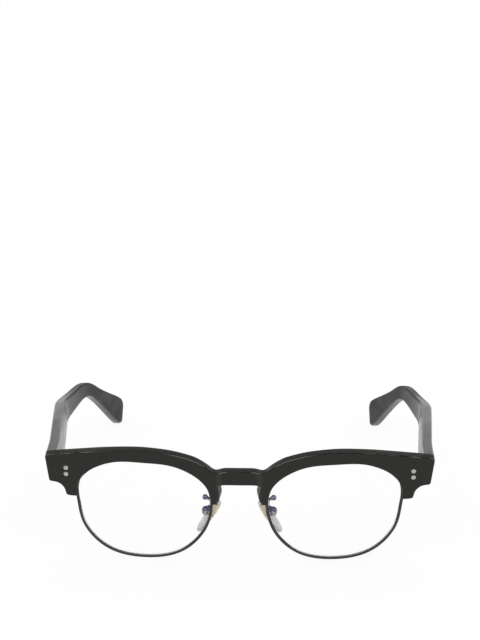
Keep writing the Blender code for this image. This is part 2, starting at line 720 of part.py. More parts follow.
def leaf_blank(levels):
    """A hinge leaf with Z on the axis, keeping the knuckles at some levels counted from below."""
    half = KNUCKLES_HEIGHT / 2
    plate_back = -LEAF_OFFSET + LEAF_PROUD
    plate_front = plate_back - LEAF_THICKNESS
    start = -math.acos(WEB_WIDTH / KNUCKLE_RADIUS)
    knuckle = arc((0.0, 0.0), KNUCKLE_RADIUS, start, math.pi, ROUND_SIDES - 4)
    section = [
        Vector((-LEAF_REACH, plate_front)), Vector((LEAF_TOE, plate_front)),
        Vector((LEAF_TOE, plate_back)), Vector((WEB_WIDTH, plate_back)),
    ]
    section += knuckle + [Vector((-KNUCKLE_RADIUS, plate_back)), Vector((-LEAF_REACH, plate_back))]
    rings = [[Vector((point.x, point.y, z)) for point in section] for z in (-half, half)]
    tools = [rod(HINGE_BORE_RADIUS, -half - OVERRUN, half + OVERRUN, SCREW_SIDES)]
    for level in range(KNUCKLES):
        if level in levels:
            continue
        below = OVERRUN if level == 0 else KNUCKLE_GAP
        above = OVERRUN if level == KNUCKLES - 1 else KNUCKLE_GAP
        low = -half + level * KNUCKLE_PITCH - below
        high = -half + level * KNUCKLE_PITCH + KNUCKLE_HEIGHT + above
        cleared = KNUCKLE_RADIUS + KNUCKLE_GAP
        tools.append(box((-cleared, -cleared, low), (cleared, cleared, high)))
    return cut(skin("leaf", rings), tools)


def front_leaf_mesh():
    """The front leaf in the hinge's frame, turned to lie on the end piece, with its rivet holes."""
    leaf = moved(leaf_blank((0, 2, 4)), Matrix.Rotation(end_turn(), 4, "Z"))
    to_hinge = hinge_frame().inverted()
    holes = []
    for frame in rivet_frames():
        hole = rod_along("y", RIVET_RADIUS + RIVET_CLEARANCE, 0.0, BROW_THICKNESS + OVERRUN, (0.0, 0.0, 0.0))
        holes.append(moved(hole, to_hinge @ frame))
    return cut(leaf, holes)


def temple_rivet_frames():
    """The frames of a temple's rivets in the hinge frame, with Y running in from the outside."""
    outside = LEAF_OFFSET + TEMPLE_THICKNESS
    frames = []
    for step in (1, -1):
        place = Matrix.Translation((outside, TEMPLE_RIVET_REACH, step * TEMPLE_RIVET_PITCH / 2))
        frames.append(place @ Matrix.Rotation(math.pi / 2, 4, "Z"))
    return frames


def temple_leaf_mesh():
    """The temple leaf: the same leaf turned over onto the temple's inner face."""
    swap = Matrix(((0.0, -1.0, 0.0, 0.0), (-1.0, 0.0, 0.0, 0.0), (0.0, 0.0, 1.0, 0.0), (0.0, 0.0, 0.0, 1.0)))
    leaf = moved(leaf_blank((1, 3)), swap)
    holes = []
    for frame in temple_rivet_frames():
        reach = TEMPLE_THICKNESS + OVERRUN
        hole = rod_along("y", RIVET_RADIUS + RIVET_CLEARANCE, 0.0, reach, (0.0, 0.0, 0.0))
        holes.append(moved(hole, frame))
    return cut(leaf, holes)


def rivet_mesh(grip):
    """A flush pin with its head at the start of +Y and its upset end past what it grips."""
    profile = (
        (RIVET_HEAD_RADIUS * RIVET_FACE_SHARE, -RIVET_PROUD), (RIVET_HEAD_RADIUS, 0.0),
        (RIVET_HEAD_RADIUS, RIVET_HEAD_LENGTH), (RIVET_RADIUS, RIVET_HEAD_LENGTH),
        (RIVET_RADIUS, grip + RIVET_CLEARANCE), (RIVET_UPSET_RADIUS, grip + RIVET_CLEARANCE),
        (RIVET_UPSET_RADIUS * RIVET_UPSET_SHARE, grip + RIVET_CLEARANCE + RIVET_UPSET_HEIGHT),
    )
    return moved(turned(profile, "rivet", SCREW_SIDES), AXIS_TURNS["y"])


def screw_mesh(radius, head_radius, head_height, length):
    """A slotted screw along Z: the head is above zero and the shank reaches down."""
    crown, shoulder = SCREW_CROWN_SHARES
    profile = (
        (radius * SCREW_POINT_SHARE, -length), (radius, -length + radius), (radius, 0.0), (head_radius, 0.0),
        (head_radius, head_height * shoulder), (head_radius * crown, head_height),
    )
    body = turned(profile, "screw", SCREW_SIDES)
    reach = head_radius + OVERRUN
    floor = head_height * SCREW_SLOT_SHARE
    slot = box((-reach, -SCREW_SLOT / 2, floor), (reach, SCREW_SLOT / 2, head_height + OVERRUN))
    return cut(body, [slot])


def temple_heading(s):
    """The temple's direction, side and up vectors at a length along its middle line."""

    def ramp(start, length):
        t = min(max((s - start) / length, 0.0), 1.0)
        return t * t * (3 - 2 * t)

    turn = KINK_ANGLE * ramp(KINK_START, KINK_LENGTH) - SPREAD_ANGLE * ramp(SPREAD_START, SPREAD_LENGTH)
    drop = TEMPLE_DROP_ANGLE + EAR_BEND_ANGLE * ramp(EAR_BEND_START, EAR_BEND_LENGTH)
    side = Vector((math.cos(turn), math.sin(turn), 0.0))
    along = Vector((-math.sin(turn) * math.cos(drop), math.cos(turn) * math.cos(drop), -math.sin(drop)))
    return along, side, side.cross(along)


def temple_places(start, end, straight_step, bent_step):
    """Lengths along the temple, spaced wide where it runs straight and close where it bends."""
    places, s = [], start
    while s < end - bent_step / 2:
        places.append(s)
        bends = SPREAD_START - bent_step < s < SPREAD_START + SPREAD_LENGTH or s > KINK_START - straight_step
        s += bent_step if bends else straight_step
    return places + [end]


def temple_point(s):
    """The middle line's point at a length, by adding up short steps from the hinge."""
    point = Vector((LEAF_OFFSET + TEMPLE_THICKNESS / 2, 0.0, TEMPLE_RISE))
    count = max(1, round(abs(s) / (BENT_STEP / 4)))
    step = s / count
    for i in range(count):
        point = point + temple_heading((i + 0.5) * step)[0] * step
    return point


def temple_form(s):
    """The temple's height and thickness at a length."""
    share = s / TEMPLE_LENGTH
    rows = TEMPLE_FORM_SHARES
    i = max(k for k in range(len(rows) - 1) if rows[k][0] <= share or k == 0)
    near = [Vector(rows[min(max(k, 0), len(rows) - 1)]) for k in range(i - 1, i + 3)]
    t = (share - rows[i][0]) / (rows[i + 1][0] - rows[i][0])
    form = catmull_rom(*near, t) if i > 2 else near[1].lerp(near[2], t)
    return form.y * TEMPLE_HEIGHT, form.z * TEMPLE_THICKNESS


def temple_section(s):
    """A rounded section of the temple at a length, flush with its inner face."""
    height, thickness = temple_form(s)
    left = TEMPLE_LENGTH - s
    if left < TIP_ROUND:
        closing = math.sqrt(max(1 - (1 - left / TIP_ROUND) ** 2, 0.0))
        low, thin = TIP_END_SHARES
        height *= low + (1 - low) * closing
        thickness *= thin + (1 - thin) * closing
    _, side, up = temple_heading(s)
    middle = temple_point(s)
    edge = min(TEMPLE_EDGE, thickness * TEMPLE_EDGE_SHARE)
    corners = ((1, 1, 0), (-1, 1, 1), (-1, -1, 2), (1, -1, 3))
    points = []
    for across, above, quarter in corners:
        for k in range(3):
            angle = math.pi / 2 * (quarter + k / 2)
            x = across * (thickness / 2 - edge) + edge * math.cos(angle)
            z = above * (height / 2 - edge) + edge * math.sin(angle)
            points.append(middle + side * x + up * z)
    return points


def tube_rings(places, radius, inset, drop, sides):
    rings = []
    for s in places:
        _, side, up = temple_heading(s)
        middle = temple_point(s) + side * inset - up * drop
        ring = []
        for i in range(sides):
            angle = 2 * math.pi * i / sides
            ring.append(middle + side * (radius * math.cos(angle)) + up * (radius * math.sin(angle)))
        rings.append(ring)
    return rings


def core_inset():
    return TEMPLE_THICKNESS / 2 - CORE_INSET


def temple_mesh():
    """The temple in the hinge frame, with its butt end, leaf recess, rivet holes and core channel."""
    places = temple_places(-OVERRUN, TEMPLE_LENGTH - TIP_ROUND, STRAIGHT_STEP, BENT_STEP)
    places += [TEMPLE_LENGTH - TIP_ROUND * (1 - math.sin(math.pi / 2 * k / 5)) for k in range(1, 6)]
    blank = skin("temple", [temple_section(s) for s in places])
    half = KNUCKLES_HEIGHT / 2 + SEAT_GAP
    inner = LEAF_OFFSET - LEAF_PROUD + LEAF_THICKNESS + SEAT_GAP
    recess = box((0.0, -OVERRUN * 2, -half), (inner, LEAF_REACH + SEAT_GAP, half))
    places = temple_places(-OVERRUN * 2, CORE_END + RUN_GAP, CORE_STEP, CORE_STEP / 2)
    channel = skin("channel", tube_rings(places, CORE_CHANNEL_RADIUS, core_inset(), CORE_DROP, WIRE_SIDES))
    tools = [recess, channel]
    for frame in temple_rivet_frames():
        deep = RIVET_HEAD_LENGTH + RIVET_CLEARANCE
        head = rod_along("y", RIVET_HEAD_RADIUS + RIVET_CLEARANCE, -OVERRUN, deep, (0.0, 0.0, 0.0))
        shank = rod_along("y", RIVET_RADIUS + RIVET_CLEARANCE, 0.0, TEMPLE_THICKNESS, (0.0, 0.0, 0.0))
        tools += [moved(head, frame), moved(shank, frame)]
    reach = TEMPLE_HEIGHT
    trim = box((-reach, -reach, -reach), (reach, -LEAF_OFFSET + RUN_GAP, reach))
    tools.append(moved(trim, Matrix.Rotation(end_turn(), 4, "Z")))
    return cut(blank, tools)


def core_mesh():
    places = temple_places(CORE_START, CORE_END, CORE_STEP, CORE_STEP / 2)
    return skin("core", tube_rings(places, CORE_RADIUS, core_inset(), CORE_DROP, WIRE_SIDES))


def pad_frame():
    """The pad screw's place and turn: Y along the screw, X out from the pad, Z up the pad."""
    place = Matrix.Translation((PAD_SIDE, PAD_BEHIND, PAD_LEVEL))
    lean = Matrix.Rotation(-PAD_LEAN_ANGLE, 4, "Y")
    return place @ Matrix.Rotation(-PAD_SPLAY_ANGLE, 4, "Z") @ lean


def pad_mesh():
    """A soft oval pad with the boss that its screw passes through."""
    back = -(PAD_BOX_RADIUS + PAD_ROCK_GAP)
    rings = []
    for through, inward in PAD_LAYER_SHARES:
        x = back - through * PAD_THICKNESS
        inset = inward * PAD_WIDTH / 2
        ring = []
        for i in range(PAD_SIDES):
            angle = 2 * math.pi * i / PAD_SIDES
            y = (PAD_WIDTH / 2 - inset) * math.cos(angle) + PAD_SET_BACK
            z = (PAD_LENGTH / 2 - inset) * math.sin(angle) - PAD_BELOW_BOX
            ring.append(Vector((x, y, z)))
        rings.append(ring)
    pad = skin("pad", rings)
    root = back - PAD_THICKNESS / 3
    section = [Vector((root, -PAD_BOSS_RADIUS))]
    section += arc((0.0, 0.0), PAD_BOSS_RADIUS, -math.pi / 2, math.pi / 2, ROUND_SIDES // 2)
    section.append(Vector((root, PAD_BOSS_RADIUS)))
    half = PAD_BOSS_WIDTH / 2
    boss = skin("boss", [[Vector((p.x, y, p.y)) for p in section] for y in (-half, half)])
    whole = joined(pad, [boss])
    bore = rod_along("y", PAD_BORE_RADIUS, -PAD_WIDTH / 4, PAD_WIDTH / 4, (0.0, 0.0, 0.0), WIRE_SIDES)
    return cut(whole, [bore])


def arm_foot_edge():
    """How far out the foot reaches, clear of the rim along its whole height."""
    half = ARM_FOOT_HEIGHT / 2
    levels = (ARM_FOOT_LEVEL - half, ARM_FOOT_LEVEL, ARM_FOOT_LEVEL + half)
    return min(rim_edge_at(level, -1, RIM_WALL) for level in levels) - SEAT_GAP


def arm_route():
    """The wire's points from the foot, back and up behind the brow, once round, and to the box."""
    frame = pad_frame()
    foot_x = arm_foot_edge() - ARM_FOOT_WIDTH / 2
    foot_y = RIM_FRONT + ARM_FOOT_DEPTH
    low = ARM_FOOT_LEVEL + ARM_FOOT_HEIGHT / 2 - ARM_RADIUS * 2
    behind = BROW_THICKNESS + ARM_BEHIND_BROW + ARM_RADIUS
    prong = (PAD_SLOT_WIDTH + PAD_BOX_WIDTH) / 4
    loop_x = NOSE_EDGE + ARM_LOOP_ASIDE
    loop = []
    for degrees, back in ARM_LOOP_SHARES:
        angle = math.radians(degrees)
        x = loop_x + ARM_LOOP_RADIUS * math.cos(angle)
        y = behind + (PAD_BEHIND + prong - behind) * back
        loop.append(Vector((x, y, ARM_LOOP_LEVEL + ARM_LOOP_RADIUS * math.sin(angle))))
    ends = []
    for out, up in (ARM_TURN_SHARES, ARM_END_SHARES):
        ends.append(frame @ Vector((PAD_BOX_RADIUS * out, prong, PAD_BOX_RADIUS * up)))
    return [
        Vector((foot_x, foot_y - ARM_RADIUS, low)),
        Vector((foot_x, foot_y + ARM_RADIUS, low)),
        Vector((foot_x + ARM_RADIUS / 2, behind, low + ARM_RADIUS)),
    ] + loop + ends


def wire(points, radius, sides):
    """A round wire along points, with each ring square to the run there."""
    rings = []
    side = None
    for i, point in enumerate(points):
        along = (points[min(i + 1, len(points) - 1)] - points[max(i - 1, 0)]).normalized()
        if side is None:
            side = along.orthogonal().normalized()
        side = (side - along * side.dot(along)).normalized()
        up = along.cross(side)
        ring = []
        for k in range(sides):
            angle = 2 * math.pi * k / sides
            ring.append(point + side * (radius * math.cos(angle)) + up * (radius * math.sin(angle)))
        rings.append(ring)
    return skin("wire", rings)


def arm_mesh():
    """A pad arm: a foot by the rim, a looped wire and the forked round box for the pad."""
    frame = pad_frame()
    run = wire(smooth_line(arm_route(), 4), ARM_RADIUS, WIRE_SIDES)
    foot_out = arm_foot_edge()
    half_foot = ARM_FOOT_HEIGHT / 2
    foot = box(
        (foot_out - ARM_FOOT_WIDTH, RIM_FRONT, ARM_FOOT_LEVEL - half_foot),
        (foot_out, RIM_FRONT + ARM_FOOT_DEPTH, ARM_FOOT_LEVEL + half_foot),
    )
    shell = moved(
        rod_along("y", PAD_BOX_RADIUS, -PAD_BOX_WIDTH / 2, PAD_BOX_WIDTH / 2, (0.0, 0.0, 0.0)), frame
    )
    whole = joined(run, [foot, shell])
    slot = box(
        (-PAD_BOX_RADIUS - OVERRUN, -PAD_SLOT_WIDTH / 2, -PAD_BOX_RADIUS - OVERRUN),
        (PAD_SLOT_DEPTH, PAD_SLOT_WIDTH / 2, PAD_BOX_RADIUS + OVERRUN),
    )
    far = PAD_BOX_WIDTH
    bore = rod_along("y", PAD_BORE_RADIUS, -far, far, (0.0, 0.0, 0.0), WIRE_SIDES)
    return cut(whole, [moved(slot, frame), moved(bore, frame)])


def pad_screw_mesh():
    body = screw_mesh(PAD_SCREW_RADIUS, PAD_HEAD_RADIUS, SCREW_HEAD_HEIGHT, PAD_BOX_WIDTH + SEAT_GAP * 2)
    place = Matrix.Translation((0.0, -PAD_BOX_WIDTH / 2 - SEAT_GAP, 0.0))
    return moved(body, place @ Matrix.Rotation(math.pi / 2, 4, "X"))


class Maker:
    """Puts finished meshes into the scene under the empties that carry them."""

    def __init__(self):
        self.stand = self.empty("stand", None, Matrix.Identity(4))
        self.front = self.empty("front_frame", self.stand, Matrix.Identity(4))
        self.pieces = []

    def empty(self, name, parent, matrix):
        obj = bpy.data.objects.new(name, None)
        obj.empty_display_size = KNUCKLE_RADIUS * 2
        bpy.context.scene.collection.objects.link(obj)
        obj.parent = parent
        obj.matrix_local = matrix
        return obj

    def place(self, name, mesh, finish, parent, matrix):
        mesh.name = name
        mesh.materials.clear()
        mesh.materials.append(finish)
        mesh.shade_smooth()
        mesh.set_sharp_from_angle(angle=SHARP_ANGLE)
        obj = bpy.data.objects.new(name, mesh)
        bpy.context.scene.collection.objects.link(obj)
        obj.parent = parent
        obj.matrix_local = matrix
        self.pieces.append(obj)
        return obj

    def pair(self, name, mesh, finish, parents, matrix=None):
        """The same piece on the wearer's left and, mirrored, on the wearer's right."""
        matrix = Matrix.Identity(4) if matrix is None else matrix
        other = moved(mesh.copy(), Matrix.Diagonal((-1.0, 1.0, 1.0, 1.0)))
        self.place(f"left_{name}", mesh, finish, parents["left"], matrix)
        self.place(f"right_{name}", other, finish, parents["right"], mirrored_matrix(matrix))


def lowest_contact(points, lean):
    """The point of a list that is lowest once the front leans."""
    return min(points, key=lambda point: point.z * math.cos(lean) + point.y * math.sin(lean))


def standing_lean(rim_points, tip_points):
    """The lean at which rims and temple tips touch one level surface."""
    lean = TEMPLE_DROP_ANGLE
    for _ in range(12):
        rim = lowest_contact(rim_points, lean)
        tip = lowest_contact(tip_points, lean)
        lean = -math.atan2(tip.z - rim.z, tip.y - rim.y)
    return lean


def world_points(obj):
    matrix = obj.matrix_world
    return [matrix @ vert.co for vert in obj.data.vertices]


def build():
    clear_scene()
    acetate = material("acetate", (0.012, 0.012, 0.011), 0.22, 0.0)
    rim_paint = material("rim_paint", (0.02, 0.02, 0.02), 0.35, 0.6)
    gold = material("gold", (0.72, 0.56, 0.36), 0.25, 1.0)
    steel = material("steel", (0.62, 0.60, 0.57), 0.3, 1.0)
    clear = material("lens_clear", (0.97, 0.98, 1.0), 0.02, 0.0, 0.2, 1.0)
    silicone = material("silicone", (0.86, 0.86, 0.84), 0.35, 0.0, 0.6, 0.6)

    maker = Maker()
    front = {"left": maker.front, "right": maker.front}
    hinge = hinge_frame()
    pad = pad_frame()
    temples, pads = {}, {}
    for side, sign in SIDES:
        frames = (hinge, pad) if sign > 0 else (mirrored_matrix(hinge), mirrored_matrix(pad))
        temples[side] = maker.empty(f"{side}_temple_pivot", maker.front, frames[0])
        pads[side] = maker.empty(f"{side}_pad_pivot", maker.front, frames[1])

    maker.place("front_brow", brow_mesh(), acetate, maker.front, Matrix.Identity(4))
    maker.pair("rim", rim_mesh(), rim_paint, front)
    maker.pair("lens", lens_mesh(), clear, front)

    lock_screw = screw_mesh(SCREW_RADIUS, SCREW_HEAD_RADIUS, SCREW_HEAD_HEIGHT, LOCK_SCREW_LENGTH)
    x, y, z = lock_bore_place(LOCK_LEVEL - LOCK_HEIGHT / 2 - SEAT_GAP)
    lock_frame = bend_frame(x, y, z) @ Matrix.Rotation(math.pi, 4, "X")
    maker.pair("rim_lock_screw", lock_screw, steel, front, lock_frame)
    for name, (x, z, _) in zip(("side_rim_screw", "nose_rim_screw"), tab_places()):
        length = TAB_THICKNESS + SEAT_GAP + PILOT_DEPTH
        mesh = screw_mesh(SCREW_RADIUS, SCREW_HEAD_RADIUS, SCREW_HEAD_HEIGHT, length)
        head = RIM_FRONT + TAB_THICKNESS + SEAT_GAP
        frame = bend_frame(x, head, z) @ Matrix.Rotation(-math.pi / 2, 4, "X")
        maker.pair(name, mesh, steel, front, frame)

    maker.pair("front_hinge_leaf", front_leaf_mesh(), steel, front, hinge)
    pin = screw_mesh(HINGE_PIN_RADIUS, HINGE_HEAD_RADIUS, HINGE_HEAD_HEIGHT, KNUCKLES_HEIGHT + SEAT_GAP)
    top = Matrix.Translation((0.0, 0.0, KNUCKLES_HEIGHT / 2 + SEAT_GAP))
    maker.pair("hinge_screw", pin, steel, front, hinge @ top)
    for name, frame in zip(("upper_front_rivet", "lower_front_rivet"), rivet_frames()):
        maker.pair(name, rivet_mesh(BROW_THICKNESS + LEAF_PROUD), steel, front, frame)

    maker.pair("temple", temple_mesh(), acetate, temples)
    maker.pair("temple_core_wire", core_mesh(), steel, temples)
    maker.pair("temple_hinge_leaf", temple_leaf_mesh(), steel, temples)
    for name, frame in zip(("upper_temple_rivet", "lower_temple_rivet"), temple_rivet_frames()):
        maker.pair(name, rivet_mesh(TEMPLE_THICKNESS + LEAF_PROUD), steel, temples, frame)

    maker.pair("pad_arm", arm_mesh(), gold, front)
    maker.pair("pad_screw", pad_screw_mesh(), gold, front, pad)
    maker.pair("nose_pad", pad_mesh(), silicone, pads)

    bpy.context.view_layer.update()
    rim_points = world_points(bpy.data.objects["left_rim"])
    tip_points = world_points(bpy.data.objects["left_temple"])
    lean = standing_lean(rim_points, [point for point in tip_points if point.y > TEMPLE_LENGTH / 2])
    maker.front.rotation_euler = (lean, 0.0, 0.0)
    bpy.context.view_layer.update()
    points = [point for obj in maker.pieces for point in world_points(obj)]
    lows = [min(point[i] for point in points) for i in range(3)]
    highs = [max(point[i] for point in points) for i in range(3)]
    maker.stand.location = (0.0, -(lows[1] + highs[1]) / 2, -lows[2])
    bpy.context.view_layer.update()
    stand = [round(v, 6) for v in maker.stand.location]
    print("lean", round(math.degrees(lean), 3), "degrees, stand at", stand)
    for name in ("left_temple_pivot", "left_pad_pivot"):
        matrix = bpy.data.objects[name].matrix_world
        print(name, [round(v, 6) for v in matrix.translation], "Z", [round(v, 6) for v in matrix.col[2][:3]],
              "Y", [round(v, 6) for v in matrix.col[1][:3]])


build()
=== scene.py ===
# %% [markdown]
# Browline eyeglasses.
# The imported model gives every piece its real size and place. This lesson dresses it: each piece
# that shows is made again with smooth curves and eased edges, in the place that the model gives,
# and gets a finish built from nodes.
# The model is loaded first.

# %% Load the fixed frame
import math

import bmesh
import bpy
from mathutils import Matrix, Vector


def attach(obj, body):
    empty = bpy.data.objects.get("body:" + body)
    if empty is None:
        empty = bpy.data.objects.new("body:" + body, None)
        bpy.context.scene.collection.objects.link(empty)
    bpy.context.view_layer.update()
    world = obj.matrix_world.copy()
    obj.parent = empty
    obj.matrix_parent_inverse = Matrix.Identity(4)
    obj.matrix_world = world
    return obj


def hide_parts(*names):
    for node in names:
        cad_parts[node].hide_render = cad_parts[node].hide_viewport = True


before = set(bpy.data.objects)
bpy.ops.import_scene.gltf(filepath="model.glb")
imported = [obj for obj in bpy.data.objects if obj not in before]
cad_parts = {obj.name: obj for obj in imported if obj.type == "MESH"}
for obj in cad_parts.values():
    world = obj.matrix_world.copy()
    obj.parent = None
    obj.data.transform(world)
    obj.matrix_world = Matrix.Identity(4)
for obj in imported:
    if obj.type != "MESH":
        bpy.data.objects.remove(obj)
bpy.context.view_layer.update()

scene = bpy.context.scene

# %% [markdown]
# The camera stands a metre in front and looks down at 25 degrees, with a long lens, as a
# catalogue picture is taken. A long lens keeps the temples from shrinking towards the back.
# The glasses sit low in the picture, so the view is tilted up a little from the point it aims at.

# %% Camera
CAMERA_AIM = Vector((0.000260, -0.065893, 0.022990))
AZIMUTH, ELEVATION, ROLL = (math.radians(v) for v in (1.15, 24.855, 0.11))
FOCAL_PIXELS, PICTURE_PIXELS, LIFT_PIXELS, SENSOR_HEIGHT = 2700, 640, 185, 36.0


def place_camera():
    back = Vector((
        math.sin(AZIMUTH) * math.cos(ELEVATION),
        -math.cos(AZIMUTH) * math.cos(ELEVATION),
        math.sin(ELEVATION),
    ))
    across = Vector((0.0, 0.0, 1.0)).cross(back).normalized()
    above = back.cross(across)
    right = across * math.cos(ROLL) + above * math.sin(ROLL)
    up = above * math.cos(ROLL) - across * math.sin(ROLL)
    lift = Matrix.Rotation(math.atan(LIFT_PIXELS / FOCAL_PIXELS), 3, "X")
    turn = Matrix((right, up, back)).transposed() @ lift
    data = bpy.data.cameras.new("catalogue_camera")
    data.sensor_fit = "VERTICAL"
    data.sensor_height = SENSOR_HEIGHT
    data.lens = SENSOR_HEIGHT * FOCAL_PIXELS / PICTURE_PIXELS
    data.clip_start, data.clip_end = 0.05, 20.0
    camera = bpy.data.objects.new("catalogue_camera", data)
    camera.matrix_world = Matrix.Translation(CAMERA_AIM + back) @ turn.to_4x4()
    scene.collection.objects.link(camera)
    scene.camera = camera
    return camera


camera = place_camera()
print("camera at", [round(v, 3) for v in camera.location], "lens", round(camera.data.lens, 1))

# %% [markdown]
# The set is a white sweep in a studio. Black acetate shows little but what it mirrors, so the
# room matters: mirrors see it white low down, and greyer overhead and to the sides. One soft box
# above the front lifts the upper faces a little.
# The camera, mirrors and clear pieces see the floor at nearly full white. A part of its own
# shading stays, so that it keeps the shadow.

# %% Floor, room and lamps
WHITE = (1.0, 1.0, 1.0, 1.0)
FLOOR_DROP, FLOOR_GREY, GLOW_SHARE = 0.00005, 0.92, 0.92
ROOM_BRIGHT, ROOM_SIDEWAYS, ROOM_GREY = 1.35, 0.6, 0.21
WHITE_BELOW, GREY_ABOVE = 0.28, 0.445


def add_node(tree, kind, inputs, **settings):
    """A node with its settings. An input is linked where a socket is given, and else set."""
    node = tree.nodes.new(kind)
    for key, value in settings.items():
        setattr(node, key, value)
    for key, value in inputs.items():
        if isinstance(value, bpy.types.NodeSocket):
            tree.links.new(value, node.inputs[key])
        else:
            node.inputs[key].default_value = value
    return node


def joined(tree, operation, first, second=0.0):
    """What a Math node makes of one or two values."""
    return add_node(tree, "ShaderNodeMath", {0: first, 1: second}, operation=operation).outputs[0]


def rays_of(tree):
    return tree.nodes.new("ShaderNodeLightPath").outputs


def seen_ray(tree):
    """One where a camera, glossy or transmission ray looks, else zero."""
    rays = rays_of(tree)
    direct = joined(tree, "MAXIMUM", rays["Is Camera Ray"], rays["Is Glossy Ray"])
    return joined(tree, "MAXIMUM", direct, rays["Is Transmission Ray"])


def white_floor():
    bm = bmesh.new()
    bmesh.ops.create_grid(bm, x_segments=1, y_segments=1, size=4.0)
    bmesh.ops.translate(bm, vec=(0.0, 0.0, -FLOOR_DROP), verts=bm.verts)
    mesh = bpy.data.meshes.new("floor")
    bm.to_mesh(mesh)
    bm.free()
    paint = bpy.data.materials.new("white_sweep")
    paint.use_nodes = True
    tree = paint.node_tree
    tree.nodes.clear()
    grey = (FLOOR_GREY, FLOOR_GREY, FLOOR_GREY, 1.0)
    matt = add_node(tree, "ShaderNodeBsdfDiffuse", {"Color": grey}).outputs[0]
    glow = add_node(tree, "ShaderNodeEmission", {"Color": WHITE}).outputs[0]
    share = joined(tree, "MULTIPLY", seen_ray(tree), GLOW_SHARE)
    mix = add_node(tree, "ShaderNodeMixShader", {0: share, 1: matt, 2: glow}).outputs[0]
    add_node(tree, "ShaderNodeOutputMaterial", {"Surface": mix})
    mesh.materials.append(paint)
    floor = bpy.data.objects.new("floor", mesh)
    scene.collection.objects.link(floor)


def studio_room():
    """Mirrors see a room that greys with height, and everything else an even white."""
    world = bpy.data.worlds.new("studio_room")
    world.use_nodes = True
    scene.world = world
    tree = world.node_tree
    tree.nodes.clear()
    axes = axes_of(tree, "Generated")
    level = {0: joined(tree, "ABSOLUTE", axes["X"]), 1: ROOM_SIDEWAYS, 2: axes["Z"]}
    level = add_node(tree, "ShaderNodeMath", level, operation="MULTIPLY_ADD").outputs[0]
    height = add_node(tree, "ShaderNodeValToRGB", {0: level})
    height.color_ramp.interpolation = "EASE"
    low, high = height.color_ramp.elements
    low.position, low.color = WHITE_BELOW, WHITE
    high.position, high.color = GREY_ABOVE, (ROOM_GREY, ROOM_GREY, ROOM_GREY, 1.0)
    scaled = {0: height.outputs["Color"], "Scale": ROOM_BRIGHT}
    bright = add_node(tree, "ShaderNodeVectorMath", scaled, operation="SCALE").outputs["Vector"]
    choice = {"Factor": rays_of(tree)["Is Glossy Ray"], "A": WHITE, "B": bright}
    colour = add_node(tree, "ShaderNodeMix", choice, data_type="RGBA").outputs["Result"]
    light = add_node(tree, "ShaderNodeBackground", {"Color": colour, "Strength": 1.0}).outputs[0]
    add_node(tree, "ShaderNodeOutputWorld", {"Surface": light})


def axes_of(tree, output):
    """X, Y and Z of one of the texture coordinates."""
    place = tree.nodes.new("ShaderNodeTexCoord").outputs[output]
    return add_node(tree, "ShaderNodeSeparateXYZ", {0: place}).outputs


def soft_box(name, place, aim, size, power):
    data = bpy.data.lights.new(name, "AREA")
    data.shape = "RECTANGLE"
    data.size, data.size_y = size
    data.energy = power
    lamp = bpy.data.objects.new(name, data)
    lamp.location = place
    lamp.rotation_euler = (Vector(aim) - Vector(place)).to_track_quat("-Z", "Y").to_euler()
    scene.collection.objects.link(lamp)


white_floor()
studio_room()
soft_box(
    "key_soft_box", place=(0.0, -0.75, 1.15), aim=(0.0, -0.05, 0.02), size=(1.1, 0.35), power=1.5,
)
print("set: white floor, studio room, one soft box")

# %% [markdown]
# Finishes. Each is one Principled shader with patterns on Object coordinates. All pieces lie at
# the origin with their place in their mesh, so these are metres, and a scale of 1000 gives a
# pattern of about a millimetre.
# Helpers make the noise that the finishes share, spread and mix values, and link colour,
# roughness and a bump that is too fine to see as a shape but breaks a reflection up.

# %% Helpers for finishes
def new_finish(name, **values):
    """A material, its node tree and its Principled shader."""
    made = bpy.data.materials.new(name)
    made.use_nodes = True
    shader = made.node_tree.nodes["Principled BSDF"]
    for key, value in values.items():
        shader.inputs[key.replace("_", " ")].default_value = value
    return made, made.node_tree, shader


def noise_of(tree, scale, stretch=(1.0, 1.0, 1.0), detail=3.0):
    """A noise on Object coordinates, stretched by a Mapping node."""
    place = tree.nodes.new("ShaderNodeTexCoord").outputs["Object"]
    place = add_node(tree, "ShaderNodeMapping", {"Vector": place, "Scale": stretch}).outputs["Vector"]
    pattern = {"Vector": place, "Scale": scale, "Detail": detail}
    return add_node(tree, "ShaderNodeTexNoise", pattern).outputs["Fac"]


def ranged(tree, value, low, high, start=0.3, end=0.7):
    """The value spread from start..end to low..high."""
    spread = {"Value": value, "From Min": start, "From Max": end, "To Min": low, "To Max": high}
    return add_node(tree, "ShaderNodeMapRange", spread).outputs["Result"]


def between_marks(tree, value, marks):
    """One between the two inner marks, zero outside the two outer ones."""
    rise = ranged(tree, value, 0.0, 1.0, marks[0], marks[1])
    return joined(tree, "MULTIPLY", rise, ranged(tree, value, 1.0, 0.0, marks[2], marks[3]))


def blended(tree, value, first, second):
    """Two colours mixed by a value."""
    colours = {"Factor": value, "A": (*first, 1.0), "B": (*second, 1.0)}
    return add_node(tree, "ShaderNodeMix", colours, data_type="RGBA").outputs["Result"]


def added(tree, first, second):
    """Two colours added."""
    return add_node(tree, "ShaderNodeVectorMath", {0: first, 1: second}).outputs["Vector"]


def wired(tree, shader, colour, rough, height, depth):
    """Colour and roughness linked to the shader, and a bump with its depth in metres."""
    tree.links.new(colour, shader.inputs["Base Color"])
    tree.links.new(rough, shader.inputs["Roughness"])
    bump = {"Strength": 1.0, "Distance": depth, "Height": height}
    bump = add_node(tree, "ShaderNodeBump", bump).outputs["Normal"]
    tree.links.new(bump, shader.inputs["Normal"])


